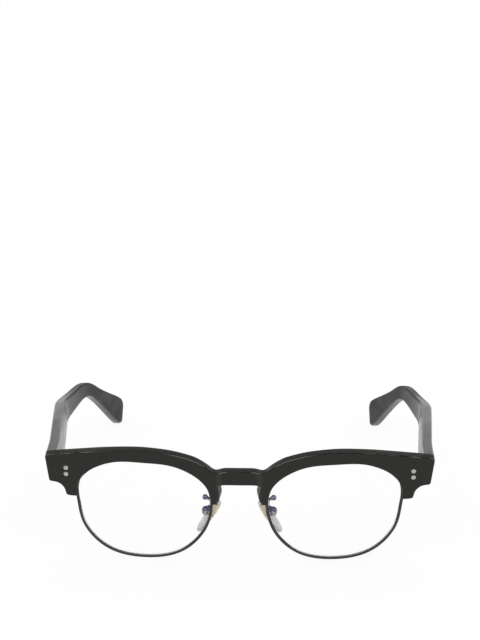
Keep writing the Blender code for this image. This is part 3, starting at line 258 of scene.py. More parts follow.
def speckled(name, dull, bright, rough, scales, depth, detail, **values):
    """A finish whose colour, roughness and bump follow noises of three scales."""
    made, tree, shader = new_finish(name, **values)
    colour = blended(tree, noise_of(tree, scales[0]), dull, bright)
    marks = ranged(tree, noise_of(tree, scales[1]), *rough)
    wired(tree, shader, colour, marks, noise_of(tree, scales[2], detail=detail), depth)
    return made


print("helpers for finishes: noise, ranges, blends and bumps")

# %% [markdown]
# Acetate is cut from a sheet and tumbled with wooden pegs and paste until it shines. The polish
# leaves hair-fine marks along the length of each piece and a slight unevenness, so the gloss is
# not the same everywhere. The black is not pure: a warm, very dark brown-grey.
# Where the front turns over into its top, a thin pale line is painted into the colour as a painted
# highlight, and a faint painted light lies on the narrow faces where the bridge turns into the
# brows. Masks from the surface's direction and place choose where they show.

# %% Black acetate
# Marks for the painted highlight along the front's top edge: which way the surface faces, and where
# across the front it shows.
EDGE_FACING, EDGE_UP = (-0.90, -0.80, -0.62, -0.50), (0.25, 0.40)
SLOPE_MARKS, BRIDGE_MARKS = (0.0125, 0.0145, 0.0225, 0.0290), (0.0040, 0.0050, 0.0072, 0.0084)
END_MARKS, BREAK_MARKS = (0.044, 0.056), (0.42, 0.58)
# Marks and share of the faint painted light on the bridge's facets.
FACET_MARKS, FACET_FACING, FACET_SHARE = (0.0060, 0.0070, 0.0078, 0.0090), (-0.95, -0.90), 0.05
WORN_MARKS, UPPER_MARKS, WORN_MORE = (0.005, 0.035), (-0.45, -0.15), 0.36


def black_acetate():
    made, tree, shader = new_finish("black_acetate", IOR=1.49, Specular_IOR_Level=0.33)
    cloud = noise_of(tree, 90.0, detail=4.0)
    black = blended(tree, cloud, (0.0054, 0.0050, 0.0034), (0.0078, 0.0072, 0.0052))
    # The pale colour added to the black is painted light: a painted highlight on the front's top edge and
    # faint painted light on the bridge's facets.
    painted_facet_light = joined(tree, "MULTIPLY", painted_bridge_light(tree), FACET_SHARE)
    share = joined(tree, "MAXIMUM", painted_edge_highlight(tree), painted_facet_light)
    pale = blended(tree, share, (0.0, 0.0, 0.0), (0.20, 0.195, 0.17))
    rough = ranged(tree, noise_of(tree, 260.0, stretch=(1.0, 0.25, 2.0), detail=5.0), 0.26, 0.33)
    wired(tree, shader, added(tree, black, pale), rough, noise_of(tree, 450.0, detail=1.0), 0.0000015)
    return made


def painted_edge_highlight(tree):
    """One where the painted highlight lies, on the rounded edge between front and top: whole beside the
    bridge, broken at the ends.
    """
    turned = axes_of(tree, "Normal")
    aside = joined(tree, "ABSOLUTE", axes_of(tree, "Object")["X"])
    edge = between_marks(tree, turned["Y"], EDGE_FACING)
    edge = joined(tree, "MULTIPLY", edge, ranged(tree, turned["Z"], 0.0, 1.0, *EDGE_UP))
    slopes, bridge = (between_marks(tree, aside, marks) for marks in (SLOPE_MARKS, BRIDGE_MARKS))
    broken = ranged(tree, noise_of(tree, 190.0, detail=5.0), 0.0, 1.0, *BREAK_MARKS)
    ends = joined(tree, "MULTIPLY", ranged(tree, aside, 0.10, 1.0, *END_MARKS), broken)
    line = joined(tree, "MAXIMUM", joined(tree, "MAXIMUM", slopes, bridge), ends)
    return joined(tree, "MULTIPLY", edge, line)


def painted_bridge_light(tree):
    """One where painted light lies, on the narrow faces where the bridge turns into the brows."""
    aside = joined(tree, "ABSOLUTE", axes_of(tree, "Object")["X"])
    facing = ranged(tree, axes_of(tree, "Normal")["Y"], 1.0, 0.0, *FACET_FACING)
    return joined(tree, "MULTIPLY", between_marks(tree, aside, FACET_MARKS), facing)


def temple_acetate():
    """The same black, glossy at the hinge and satin towards the tips, except underneath."""
    made, tree, shader = new_finish("temple_acetate", IOR=1.49, Specular_IOR_Level=0.5)
    cloud = noise_of(tree, 90.0, detail=4.0)
    black = blended(tree, cloud, (0.0068, 0.0060, 0.0044), (0.0092, 0.0082, 0.0062))
    worn = ranged(tree, axes_of(tree, "Object")["Y"], 0.0, WORN_MORE, *WORN_MARKS)
    upper = ranged(tree, axes_of(tree, "Normal")["Z"], 0.0, 1.0, *UPPER_MARKS)
    marks = ranged(tree, noise_of(tree, 200.0, stretch=(1.0, 0.2, 1.0), detail=5.0), 0.17, 0.30)
    rough = joined(tree, "ADD", joined(tree, "MULTIPLY", worn, upper), marks)
    wired(tree, shader, black, rough, noise_of(tree, 350.0, stretch=(1.0, 0.3, 1.0)), 0.00002)
    return made


acetate, temple_black = black_acetate(), temple_acetate()
print("finishes", acetate.name, temple_black.name)

# %% [markdown]
# The rims are thin drawn metal under black paint. Paint flows a little before it dries, so its
# surface has a soft, low orange peel, and its gloss varies from place to place.

# %% Black rim paint
rim_paint = speckled(
    "black_rim_paint", (0.010, 0.010, 0.010), (0.018, 0.017, 0.016), rough=(0.24, 0.38),
    scales=(300.0, 900.0, 1800.0), depth=0.000006, detail=1.0, Metallic=0.0, IOR=1.5,
)
print("finish", rim_paint.name)

# %% [markdown]
# The lenses are clear plastic with a coating that takes away most reflections and leaves a
# blue-violet one. A shadow ray passes straight through, so that the lens doesn't darken what lies
# behind it, which a ray tracer would otherwise do.

# %% Clear lens
def clear_lens():
    made, tree, shader = new_finish(
        "clear_lens", Base_Color=WHITE, IOR=1.5, Transmission_Weight=1.0,
        Specular_Tint=(0.25, 0.30, 1.0, 1.0),
    )
    smear = ranged(tree, noise_of(tree, 60.0, detail=5.0), 0.0, 0.012)
    tree.links.new(smear, shader.inputs["Roughness"])
    through = tree.nodes.new("ShaderNodeBsdfTransparent").outputs[0]
    shadow = rays_of(tree)["Is Shadow Ray"]
    mix = {0: shadow, 1: shader.outputs[0], 2: through}
    mix = add_node(tree, "ShaderNodeMixShader", mix).outputs[0]
    tree.links.new(mix, tree.nodes["Material Output"].inputs["Surface"])
    return made


lens_clear = clear_lens()
print("finish", lens_clear.name)

# %% [markdown]
# The edge of a lens isn't polished. The grinding wheel leaves it matt, with fine lines across it.
# Inside a black groove it looks dark grey, and that dark grey is painted into its colour as painted
# shade. Its upper stretch gets a painted highlight.

# %% Ground lens edge
# Heights over which the painted highlight on the lens edge's upper stretch fades in.
PAINTED_LIGHT_MARKS = (0.0255, 0.0315)


def lens_edge():
    made, tree, shader = new_finish("ground_edge", IOR=1.5, Specular_IOR_Level=0.3)
    lines = noise_of(tree, 1600.0, stretch=(1.0, 0.2, 1.0))
    # Dark grey over fine grinding lines: the grey is painted shade for the black groove round the edge.
    matt = blended(tree, lines, (0.035, 0.035, 0.036), (0.085, 0.085, 0.088))
    # The upper stretch gets a painted highlight: pale grey added to the colour.
    high = ranged(tree, axes_of(tree, "Object")["Z"], 0.0, 1.0, *PAINTED_LIGHT_MARKS)
    painted_top_light = blended(tree, high, (0.0, 0.0, 0.0), (0.30, 0.30, 0.29))
    wired(tree, shader, added(tree, matt, painted_top_light), ranged(tree, lines, 0.5, 0.7), lines, 0.000008)
    return made


ground_edge = lens_edge()
print("finish", ground_edge.name)

# %% [markdown]
# Silicone pads are clear but cloudy. Light enters them and comes out again a little further, so
# they look pale grey against white. The finish mixes clearness with a matt cream colour.

# %% Silicone
silicone = speckled(
    "cloudy_silicone", (0.93, 0.91, 0.85), (0.96, 0.95, 0.91), rough=(0.30, 0.45),
    scales=(220.0, 500.0, 1500.0), depth=0.000008, detail=2.0, IOR=1.41, Transmission_Weight=0.30,
)
print("finish", silicone.name)

# %% [markdown]
# Metals. A pad arm is pale gold, but only its foot keeps that colour: its wire and box get a dark,
# slightly blue steel as painted shade, for where they lie in shade behind the lens and brow. The
# pins and the pads' screws are bare steel turned on a lathe, and the hinges and other screws are ground
# steel. The roughness varies more than the colour: plating is smooth with soft clouds, and steel
# keeps fine lines from its grinding.

# %% Metals
def metal(name, dull, bright, rough, scale, stretch, depth):
    made, tree, shader = new_finish(name, Metallic=1.0)
    lines = noise_of(tree, scale, stretch=stretch, detail=5.0)
    colour = blended(tree, noise_of(tree, scale / 4), dull, bright)
    wired(tree, shader, colour, ranged(tree, lines, *rough), lines, depth)
    return made


gold = metal(
    "pale_gold", (0.42, 0.34, 0.21), (0.58, 0.47, 0.36), rough=(0.16, 0.30),
    scale=1200.0, stretch=(1, 1, 1), depth=0.000002,
)
pin_steel = metal(
    "pin_steel", (0.42, 0.40, 0.355), (0.52, 0.49, 0.44), rough=(0.25, 0.42),
    scale=2600.0, stretch=(1, 0.4, 1), depth=0.000004,
)
hinge_steel = metal(
    "hinge_steel", (0.52, 0.51, 0.49), (0.64, 0.62, 0.60), rough=(0.20, 0.38),
    scale=2200.0, stretch=(1, 1, 0.15), depth=0.000004,
)
# Dark, slightly blue steel: painted shade for a pad arm's wire and box, which lie in shade behind lens
# and brow.
painted_shade_steel = metal(
    "painted_shade_steel", (0.11, 0.112, 0.118), (0.31, 0.31, 0.325), rough=(0.14, 0.26),
    scale=700.0, stretch=(1, 1, 1), depth=0.000001,
)
print("finishes", gold.name, pin_steel.name, hinge_steel.name, painted_shade_steel.name)

# %% [markdown]
# Three ways of shaping carry the whole pair.
# A ring of vertices is a circle from create_circle whose vertices move to an outline. Rings are
# joined by bridge_loops, which is how rims, lenses and temples are made.
# A small turned piece, such as a pin or a screw, is half an outline spun round an axis.
# Holes and recesses are cut with boolean modifiers, one at a time, and applied at once.

# %% Shaping helpers
MERGE_DISTANCE, SPIN_STEPS = 1e-7, 40


def mesh_of(bm):
    mesh = bpy.data.meshes.new("shape")
    bm.to_mesh(mesh)
    bm.free()
    return mesh


def ring(bm, points):
    """A closed ring of vertices at the points, as its edges."""
    made = bmesh.ops.create_circle(bm, cap_ends=False, segments=len(points), radius=1.0)["verts"]
    for vert, point in zip(made, points):
        vert.co = point
    return list({edge for vert in made for edge in vert.link_edges})


def lofted(rings, closed=False):
    """A shape bridged through rings of points, with its ends filled unless it closes on itself."""
    bm = bmesh.new()
    loops = [ring(bm, points) for points in rings]
    for near, far in zip(loops, loops[1:]):
        bmesh.ops.bridge_loops(bm, edges=near + far)
    if closed:
        bmesh.ops.bridge_loops(bm, edges=loops[-1] + loops[0])
    else:
        for end in (loops[0], loops[-1]):
            bmesh.ops.contextual_create(bm, geom=end)
    bmesh.ops.recalc_face_normals(bm, faces=bm.faces)
    return mesh_of(bm)


def slab(outline, near, far):
    """An outline of (x, z) points pushed along Y from near to far."""
    return lofted([[Vector((x, y, z)) for x, z in outline] for y in (near, far)])


def spun(profile):
    """A profile of (radius, height) pairs spun round Z, starting and ending on the axis."""
    bm = bmesh.new()
    verts = [bm.verts.new((radius, 0.0, height)) for radius, height in profile]
    edges = [bm.edges.new(pair) for pair in zip(verts, verts[1:])]
    bmesh.ops.spin(
        bm, geom=verts + edges, cent=(0, 0, 0), axis=(0, 0, 1), angle=math.tau, steps=SPIN_STEPS,
        use_merge=True, use_duplicate=False,
    )
    bmesh.ops.remove_doubles(bm, verts=bm.verts, dist=MERGE_DISTANCE)
    bmesh.ops.recalc_face_normals(bm, faces=bm.faces)
    return mesh_of(bm)


def rod(radius, low, high):
    return spun(((0.0, low), (radius, low), (radius, high), (0.0, high)))


def block(low, high):
    """A box between two corners."""
    bm = bmesh.new()
    bmesh.ops.create_cube(bm, size=1.0)
    low, high = Vector(low), Vector(high)
    bmesh.ops.scale(bm, vec=high - low, verts=bm.verts)
    bmesh.ops.translate(bm, vec=(low + high) / 2, verts=bm.verts)
    return mesh_of(bm)


def moved(mesh, matrix):
    mesh.transform(matrix)
    if matrix.determinant() < 0:
        mesh.flip_normals()
    return mesh


def in_triangles(mesh):
    bm = bmesh.new()
    bm.from_mesh(mesh)
    bmesh.ops.triangulate(bm, faces=bm.faces)
    return mesh_of(bm)


def after_modifiers(obj):
    """The shape that an object's modifiers give, for editing."""
    bpy.context.view_layer.update()
    graph = bpy.context.evaluated_depsgraph_get()
    bm = bmesh.new()
    bm.from_mesh(obj.evaluated_get(graph).data)
    return bm


def carved(mesh, tools, operation="DIFFERENCE"):
    """The mesh with each tool cut out of it, or joined to it, one after the other."""
    mesh = in_triangles(mesh)
    for tool_mesh in tools:
        body, tool = (bpy.data.objects.new("shape", part) for part in (mesh, tool_mesh))
        for obj in (body, tool):
            scene.collection.objects.link(obj)
        modifier = body.modifiers.new("shape", "BOOLEAN")
        modifier.operation, modifier.solver, modifier.object = operation, "EXACT", tool
        bm = after_modifiers(body)
        bmesh.ops.dissolve_degenerate(bm, dist=MERGE_DISTANCE, edges=bm.edges)
        bmesh.ops.remove_doubles(bm, verts=bm.verts, dist=MERGE_DISTANCE)
        bmesh.ops.triangulate(bm, faces=bm.faces)
        mesh = mesh_of(bm)
        for obj in (body, tool):
            bpy.data.objects.remove(obj, do_unlink=True)
    return mesh


print("helpers: ring, lofted, slab, spun, block, rod, carved")

# %% [markdown]
# The front is drawn flat, like the sheet that it is milled from: x across, z up, and y back from
# its front face. It is then bent round an upright cylinder of 320 mm radius and leant 3.1
# degrees forward, which is how it stands on its rims and temple tips.
# Every finished piece passes through place_piece, which gives it its finish, body and node, and
# pair_piece mirrors it for the other side. Weighted normals keep the wide faces flat in shading
# and the eased edges round.

# %% Placing helpers
FRONT_PLACE, FRONT_LEAN = (0.0, -0.067001, 0.000806), math.radians(3.059)
FRONT = Matrix.Translation(FRONT_PLACE) @ Matrix.Rotation(FRONT_LEAN, 4, "X")
FLIP = Matrix.Diagonal((-1.0, 1.0, 1.0, 1.0))
Z_TO_Y = Matrix.Rotation(-math.pi / 2, 4, "X")
BEND_RADIUS, SLICE_WIDTH = 0.320, 0.0015
SEAT_GAP = 0.0002
# A cutter reaches past what it cuts, far where there is room and else just.
PAST, JUST_PAST = 0.003, 0.001


def bend_point(point, push=0.0):
    """A point of the flat front on the bent one, pushed forward where the bridge stands proud."""
    turn, radius = point.x / BEND_RADIUS, BEND_RADIUS - point.y + push
    return Vector((radius * math.sin(turn), BEND_RADIUS - radius * math.cos(turn), point.z))


def bend_frame(x, y, z):
    """The place and turn of the bent front at a point of the flat one."""
    return Matrix.Translation(bend_point(Vector((x, y, z)))) @ Matrix.Rotation(x / BEND_RADIUS, 4, "Z")


def bent(mesh, push=lambda x: 0.0):
    """The flat mesh sliced upright, so that it can bend, and bent."""
    bm = bmesh.new()
    bm.from_mesh(mesh)
    low, high = (pick(vert.co.x for vert in bm.verts) for pick in (min, max))
    for i in range(math.ceil(low / SLICE_WIDTH), math.floor(high / SLICE_WIDTH) + 1):
        bmesh.ops.bisect_plane(
            bm, geom=bm.verts[:] + bm.edges[:] + bm.faces[:], dist=MERGE_DISTANCE,
            plane_co=(i * SLICE_WIDTH, 0.0, 0.0), plane_no=(1.0, 0.0, 0.0),
        )
    for vert in bm.verts:
        vert.co = bend_point(vert.co, push(vert.co.x))
    return mesh_of(bm)


def place_piece(name, mesh, finishes, node, body, sharp=35.0):
    """A finished piece at the origin, riding on its body in place of its node."""
    mesh.name = name
    for finish in finishes:
        mesh.materials.append(finish)
    mesh.shade_smooth()
    mesh.set_sharp_from_angle(angle=math.radians(sharp))
    piece = bpy.data.objects.new(name, mesh)
    scene.collection.objects.link(piece)
    weighted = piece.modifiers.new("weighted", "WEIGHTED_NORMAL")
    weighted.keep_sharp = True
    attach(piece, body)
    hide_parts(node)


def pair_piece(name, mesh, finishes, body, matrix):
    """The piece on the wearer's left, and mirrored on the wearer's right."""
    left = moved(mesh, matrix)
    right = moved(left.copy(), FLIP)
    for side, made in (("left", left), ("right", right)):
        rides = body if body == "front" else f"{side}_{body}"
        place_piece(f"{side}_{name}_smooth", made, finishes, f"{side}_{name}", rides)
    print(name, len(left.polygons), "faces a side")


# %% [markdown]
# The lens outline decides the rim, the seat in the brow and the lens. It is nearly an ellipse,
# drawn out a little at its upper corners. Twelve radii give it, as shares of half its width and
# half its height, and a smooth curve runs through them. An offset of it is taken square to the
# curve, so that rim and seat keep an even width.

# %% Lens outline
LENS_DISTANCE, LENS_WIDTH, LENS_HEIGHT = 0.0210, 0.0500, 0.0396
LENS_BEVEL = 0.00025
LENS_MIDDLE = (LENS_DISTANCE + LENS_WIDTH) / 2
HALF_WIDTH, HALF_HEIGHT = LENS_WIDTH / 2 - LENS_BEVEL, LENS_HEIGHT / 2 - LENS_BEVEL
LENS_TOP = 2 * HALF_HEIGHT
RADIUS_SHARES = (0.985, 1.108, 1.074, 0.99, 1.052, 1.076, 0.985, 0.973, 1.005, 1.0, 1.028, 0.999)
OUTLINE_POINTS, HALVINGS = 192, 40


def between(a, b, c, d, t):
    """A value between b and c on the smooth curve through a, b, c and d."""
    bow = (a * 2 - b * 5 + c * 4 - d) * (t * t / 2)
    return b + (c - a) * (t / 2) + bow + (b * 3 - a - c * 3 + d) * (t**3 / 2)


def smooth_line(points, steps):
    ends = [points[0] * 2 - points[1]] + list(points) + [points[-1] * 2 - points[-2]]
    line = [
        between(*ends[i : i + 4], k / steps) for i in range(len(points) - 1) for k in range(steps)
    ]
    return line + [points[-1]]


def lens_point(angle, offset=0.0):
    """A point (x, z) of the lens outline at an angle, moved out by an offset."""

    def on_outline(turn):
        count = len(RADIUS_SHARES)
        place = (turn / math.tau) % 1.0 * count
        i = int(place)
        share = between(*(RADIUS_SHARES[(i + k) % count] for k in (-1, 0, 1, 2)), place - i)
        return Vector((
            LENS_MIDDLE + HALF_WIDTH * share * math.cos(turn),
            HALF_HEIGHT + HALF_HEIGHT * share * math.sin(turn),
        ))

    nudge = math.radians(1.0)
    along = on_outline(angle + nudge) - on_outline(angle - nudge)
    return on_outline(angle) + Vector((along.y, -along.x)).normalized() * offset


def angle_at(level, side, offset):
    """The angle where the outline's nose side (-1) or temple side (+1) crosses a level."""
    low, high = (-math.pi / 2, math.pi / 2) if side > 0 else (math.pi * 1.5, math.pi / 2)
    for _ in range(HALVINGS):
        middle = (low + high) / 2
        low, high = (middle, high) if lens_point(middle, offset).y < level else (low, middle)
    return (low + high) / 2


def rim_edge_at(level, side, offset=0.0):
    return lens_point(angle_at(level, side, offset), offset).x


def lens_ring(offset, y, scale=1.0):
    """The outline as points at a depth, moved out or scaled about its middle."""
    points = []
    for i in range(OUTLINE_POINTS):
        point = lens_point(math.tau * i / OUTLINE_POINTS, offset)
        x = LENS_MIDDLE + (point.x - LENS_MIDDLE) * scale
        points.append(Vector((x, y, HALF_HEIGHT + (point.y - HALF_HEIGHT) * scale)))
    return points


print("lens", round(rim_edge_at(HALF_HEIGHT, 1) - rim_edge_at(HALF_HEIGHT, -1), 4), "m wide")

# %% [markdown]
# A rim is a metal strip rolled round the lens. Inside it has a V groove that takes the lens's
# pointed edge. Its ends meet on the temple side in a small block that one screw pulls shut, and
# two ears take the screws that hold it to the brow.
# The strip is a closed row of rings, one for each corner of its section. The block and the ears
# are joined to it, and slit, bore and holes are cut.

# %% Rims
RIM_WALL, RIM_DEPTH, RIM_EASE, INNER_EASE = 0.0010, 0.0013, 0.00018, 0.00005
GROOVE_DEPTH, GROOVE_WIDTH = 0.00035, 0.0006
BROW_LIP, BROW_THICKNESS = 0.0013, 0.0040
RIM_FRONT = BROW_LIP + SEAT_GAP
RIM_MIDDLE, RIM_BACK = RIM_FRONT + RIM_DEPTH / 2, RIM_FRONT + RIM_DEPTH
END_TOP, END_HEIGHT, END_CORNER = LENS_TOP + 0.0001, 0.0109, 0.0008
SIDE_LOBE_WIDTH, SIDE_LOBE_TAIL, SCOOP = 0.0044, 0.0008, 0.0043
SIDE_LOBE_BOTTOM = END_TOP - END_HEIGHT - SCOOP - SIDE_LOBE_TAIL
BRIDGE_DROP, NOSE_LOBE_LENGTH, LOBE_GAP = 0.0075, 0.0087, 0.0006
BRIDGE_LOW = LENS_TOP - BRIDGE_DROP
NOSE_LOBE_BOTTOM = BRIDGE_LOW - NOSE_LOBE_LENGTH
LOCK_HEIGHT, LOCK_REACH, LOCK_DEPTH, LOCK_SLIT = 0.0032, 0.0032, 0.0019, 0.0003
LOCK_LEVEL = SIDE_LOBE_BOTTOM + LOBE_GAP + SEAT_GAP * 2 + LOCK_HEIGHT / 2
LOCK_SCREW_OUT, SCREW_BORE = 0.0021, 0.00055
TAB_RADIUS, TAB_THICKNESS, TAB_NECK_SHARE, TAB_GAP = 0.0011, 0.0009, 0.7, 0.0004
SIDE_TAB_OUT, NOSE_TAB_OUT, NOSE_TAB_RISE = 0.0022, 0.0021, 0.0047
JOIN = RIM_WALL * 0.66


def rim_section():
    """(offset, depth) pairs round the strip: the groove inside and eased corners outside."""
    half = GROOVE_WIDTH / 2
    points = [(0.0, RIM_FRONT + INNER_EASE), (0.0, RIM_MIDDLE - half), (GROOVE_DEPTH, RIM_MIDDLE)]
    points += [(0.0, RIM_MIDDLE + half), (0.0, RIM_BACK - INNER_EASE), (INNER_EASE, RIM_BACK)]
    for middle, start in ((RIM_BACK - RIM_EASE, 90.0), (RIM_FRONT + RIM_EASE, 0.0)):
        for step in range(5):
            angle = math.radians(start - 22.5 * step)
            out = RIM_WALL - RIM_EASE + RIM_EASE * math.cos(angle)
            points.append((out, middle + RIM_EASE * math.sin(angle)))
    return points + [(INNER_EASE, RIM_FRONT)]


def lock_box(grow):
    """Two corners of the closing block, or of its pocket, which is larger by a gap."""
    edge = rim_edge_at(LOCK_LEVEL, 1)
    half = LOCK_HEIGHT / 2 + grow
    low = (edge + JOIN, RIM_FRONT - grow, LOCK_LEVEL - half)
    return low, (edge + LOCK_REACH + grow, RIM_FRONT + LOCK_DEPTH + grow, LOCK_LEVEL + half)


def lock_place():
    """X and y of the upright screw that closes the block."""
    return rim_edge_at(LOCK_LEVEL, 1) + LOCK_SCREW_OUT, RIM_FRONT + LOCK_DEPTH / 2


def tab_places():
    """Middles (x, z) and sides of the two ears of a rim."""
    side_level = LOCK_LEVEL + LOCK_HEIGHT / 2 + TAB_GAP + TAB_RADIUS
    nose_level = NOSE_LOBE_BOTTOM + NOSE_TAB_RISE
    return (
        (rim_edge_at(side_level, 1) + SIDE_TAB_OUT, side_level, 1),
        (rim_edge_at(nose_level, -1) - NOSE_TAB_OUT, nose_level, -1),
    )


def tab_shape(x, z, side, grow, near, far):
    """A round ear with its neck to the rim, or its pocket, which is larger by a gap."""
    radius, half = TAB_RADIUS + grow, TAB_RADIUS * TAB_NECK_SHARE + grow
    start = math.asin(half / radius)
    rim_end = rim_edge_at(z, side, JOIN)
    outline = []
    for step in range(33):
        angle = start + (math.tau - 2 * start) * step / 32
        outline.append((x - side * radius * math.cos(angle), z + radius * math.sin(angle)))
    return slab(outline + [(rim_end, z - half), (rim_end, z + half)], near, far)


def rod_along_y(radius, near, far, x, z):
    return moved(rod(radius, near, far), Matrix.Translation((x, 0.0, z)) @ Z_TO_Y)


def rim_shape():
    strip = lofted([lens_ring(offset, y) for offset, y in rim_section()], closed=True)
    low, high = lock_box(0.0)
    ear_back = RIM_FRONT + TAB_THICKNESS
    ears = [tab_shape(x, z, side, 0.0, RIM_FRONT, ear_back) for x, z, side in tab_places()]
    whole = carved(strip, [block(low, high)] + ears, "UNION")
    slit = block(
        (rim_edge_at(LOCK_LEVEL, 1) - PAST, -JUST_PAST, LOCK_LEVEL - LOCK_SLIT / 2),
        (high[0] + JUST_PAST, PAST * 2, LOCK_LEVEL + LOCK_SLIT / 2),
    )
    bore = rod(SCREW_BORE, low[2] - PAST, high[2] + SEAT_GAP)
    holes = [slit, moved(bore, Matrix.Translation((*lock_place(), 0.0)))]
    holes += [rod_along_y(SCREW_BORE, 0.0, BROW_THICKNESS, x, z) for x, z, _ in tab_places()]
    return bent(carved(whole, holes))


pair_piece("rim", rim_shape(), [rim_paint], "front", FRONT)

# %% [markdown]
# The lens is two millimetres thick, slightly bowed, and ground to a point round its edge so that
# the rim's groove can hold it. Its rings run from the middle of the front face over the edge to
# the middle of the back face.

# %% Lenses
LENS_THICKNESS, LENS_BOW, LENS_INSET = 0.0020, 0.0010, 0.0001
LENS_RING_SHARES = (0.06, 0.15, 0.27, 0.39, 0.51, 0.63, 0.75, 0.86, 0.94, 1.0)
FLAT_ENOUGH = 0.8


def lens_shape():
    def bowed(y, share):
        rim = lens_ring(-LENS_INSET, y, share)
        return [Vector((p.x, p.y - LENS_BOW * (1 - share * share), p.z)) for p in rim]

    front, back = RIM_MIDDLE - LENS_THICKNESS / 2, RIM_MIDDLE + LENS_THICKNESS / 2
    rings = [bowed(front, share) for share in LENS_RING_SHARES]
    bevel = ((-LENS_INSET, -LENS_BEVEL), (LENS_BEVEL, 0.0), (-LENS_INSET, LENS_BEVEL))
    rings += [lens_ring(offset, RIM_MIDDLE + y) for offset, y in bevel]
    rings += [bowed(back, share) for share in reversed(LENS_RING_SHARES)]
    lens = lofted(rings)
    for face in lens.polygons:
        face.material_index = int(abs(face.normal.y) < FLAT_ENOUGH)
    for vert in lens.vertices:
        vert.co = bend_point(vert.co)
    return lens


pair_piece("lens", lens_shape(), [lens_clear, ground_edge], "front", FRONT)

# %% [markdown]
# The brow is one piece of acetate: a band over each lens, the bridge, the end pieces, and four
# lobes that reach down beside the lenses. It is milled from a 4 mm sheet.
# Its outline is followed once round, evened out to short steps, and its corners are softened by
# averaging each point with its neighbours, as the polish does. Two such rings, front and back,
# are bridged and filled, and the two long rims get a round bevel.

# %% Brow outline
NOSE_EDGE, END_FLAT = LENS_DISTANCE / 2, 0.0029
END_HALF_WIDTH = NOSE_EDGE + LENS_WIDTH + SIDE_LOBE_WIDTH + SCOOP + END_FLAT
CANT = math.radians(7.5)
REVEAL, LOBE_CORNER, NOSE_FLARE = 0.00015, 0.0007, 0.0013
BRIDGE_RISE, BROW_RISE, BRIDGE_FLAT_SHARE = 0.0055, 0.0049, 0.56
HALF_STEPS, SOFTENINGS, BROW_EASE = 620, 8, 0.0004
BRIDGE_TOP_SHARES = ((0.0, 1.0), (0.30, 1.0), (0.55, 0.985), (0.70, 0.90), (0.875, 0.79))
BROW_TOP_SHARES = (
    (0.03, -0.20), (0.09, 0.20), (0.15, 0.47), (0.27, 0.78), (0.39, 0.94), (0.55, 1.0),
    (0.75, 0.84), (0.93, 0.58),
)
NOSE_SIDE_SHARES = (
    (0.875, 0.99, 0.1), (0.79, 0.94, 0.15), (0.675, 0.76, 0.25), (0.615, 0.53, 0.6),
    (0.615, 0.34, 1.0), (0.655, 0.17, 0.8), (0.69, 0.05, 0.3),
)


def arc(x, z, radius, start, end, steps):
    """Points of a round stretch, with angles in degrees."""
    turns = (math.radians(start + (end - start) * i / steps) for i in range(steps + 1))
    return [Vector((x + radius * math.cos(turn), z + radius * math.sin(turn))) for turn in turns]


def side_place(z, y):
    """How far out the end piece's side lies, so that it bends into a plane."""
    out = END_HALF_WIDTH - (END_TOP - z) * math.tan(CANT)
    return BEND_RADIUS * math.asin(out / (BEND_RADIUS - y))


def brow_half(depth):
    """Half the outline at a depth, from the top middle out and round to the bridge's underside."""
    top = [Vector((x * NOSE_EDGE, BRIDGE_LOW + z * BRIDGE_RISE)) for x, z in BRIDGE_TOP_SHARES]
    top += [Vector((NOSE_EDGE + x * LENS_WIDTH, LENS_TOP + z * BROW_RISE)) for x, z in BROW_TOP_SHARES]
    corner = Vector((side_place(END_TOP, depth) - END_CORNER, END_TOP))
    points = smooth_line(top + [corner], 8)[:-1]
    points += arc(corner.x, corner.y - END_CORNER, END_CORNER, 90, 0, 8)
    bottom = END_TOP - END_HEIGHT
    points.append(Vector((side_place(bottom, depth), bottom)))
    low_angle = angle_at(SIDE_LOBE_BOTTOM, 1, REVEAL)
    lobe_side = lens_point(low_angle, REVEAL).x + SIDE_LOBE_WIDTH
    points += arc(lobe_side + SCOOP, bottom - SCOOP, SCOOP, 90, 180, 24)
    points += arc(lobe_side - LOBE_CORNER, SIDE_LOBE_BOTTOM + LOBE_CORNER, LOBE_CORNER, 0, -90, 8)
    turn = angle_at(NOSE_LOBE_BOTTOM, -1, REVEAL) - low_angle
    points += [lens_point(low_angle + turn * i / 128, REVEAL) for i in range(129)]
    flare = NOSE_FLARE * (1 - depth / BROW_THICKNESS)
    nose = [
        Vector((x * NOSE_EDGE + flare * part, BRIDGE_LOW - down * NOSE_LOBE_LENGTH))
        for x, down, part in NOSE_SIDE_SHARES
    ]
    points += smooth_line(nose, 8)
    return points + [Vector((BRIDGE_FLAT_SHARE * NOSE_EDGE, BRIDGE_LOW)), Vector((0.0, BRIDGE_LOW))]


def evened(points, count):
    """The line through the points again, as so many equal steps."""
    lengths = [0.0]
    for near, far in zip(points, points[1:]):
        lengths.append(lengths[-1] + (far - near).length)
    line, k = [], 0
    for i in range(count + 1):
        goal = lengths[-1] * i / count
        while k < len(points) - 2 and lengths[k + 1] < goal:
            k += 1
        span = lengths[k + 1] - lengths[k]
        line.append(points[k].lerp(points[k + 1], (goal - lengths[k]) / span if span else 0.0))
    return line


def softened(points, passes):
    """A closed line with each point moved halfway to the mean of its neighbours, a few times."""
    for _ in range(passes):
        points = [
            points[i] * 0.5 + (points[i - 1] + points[(i + 1) % len(points)]) * 0.25
            for i in range(len(points))
        ]
    return points


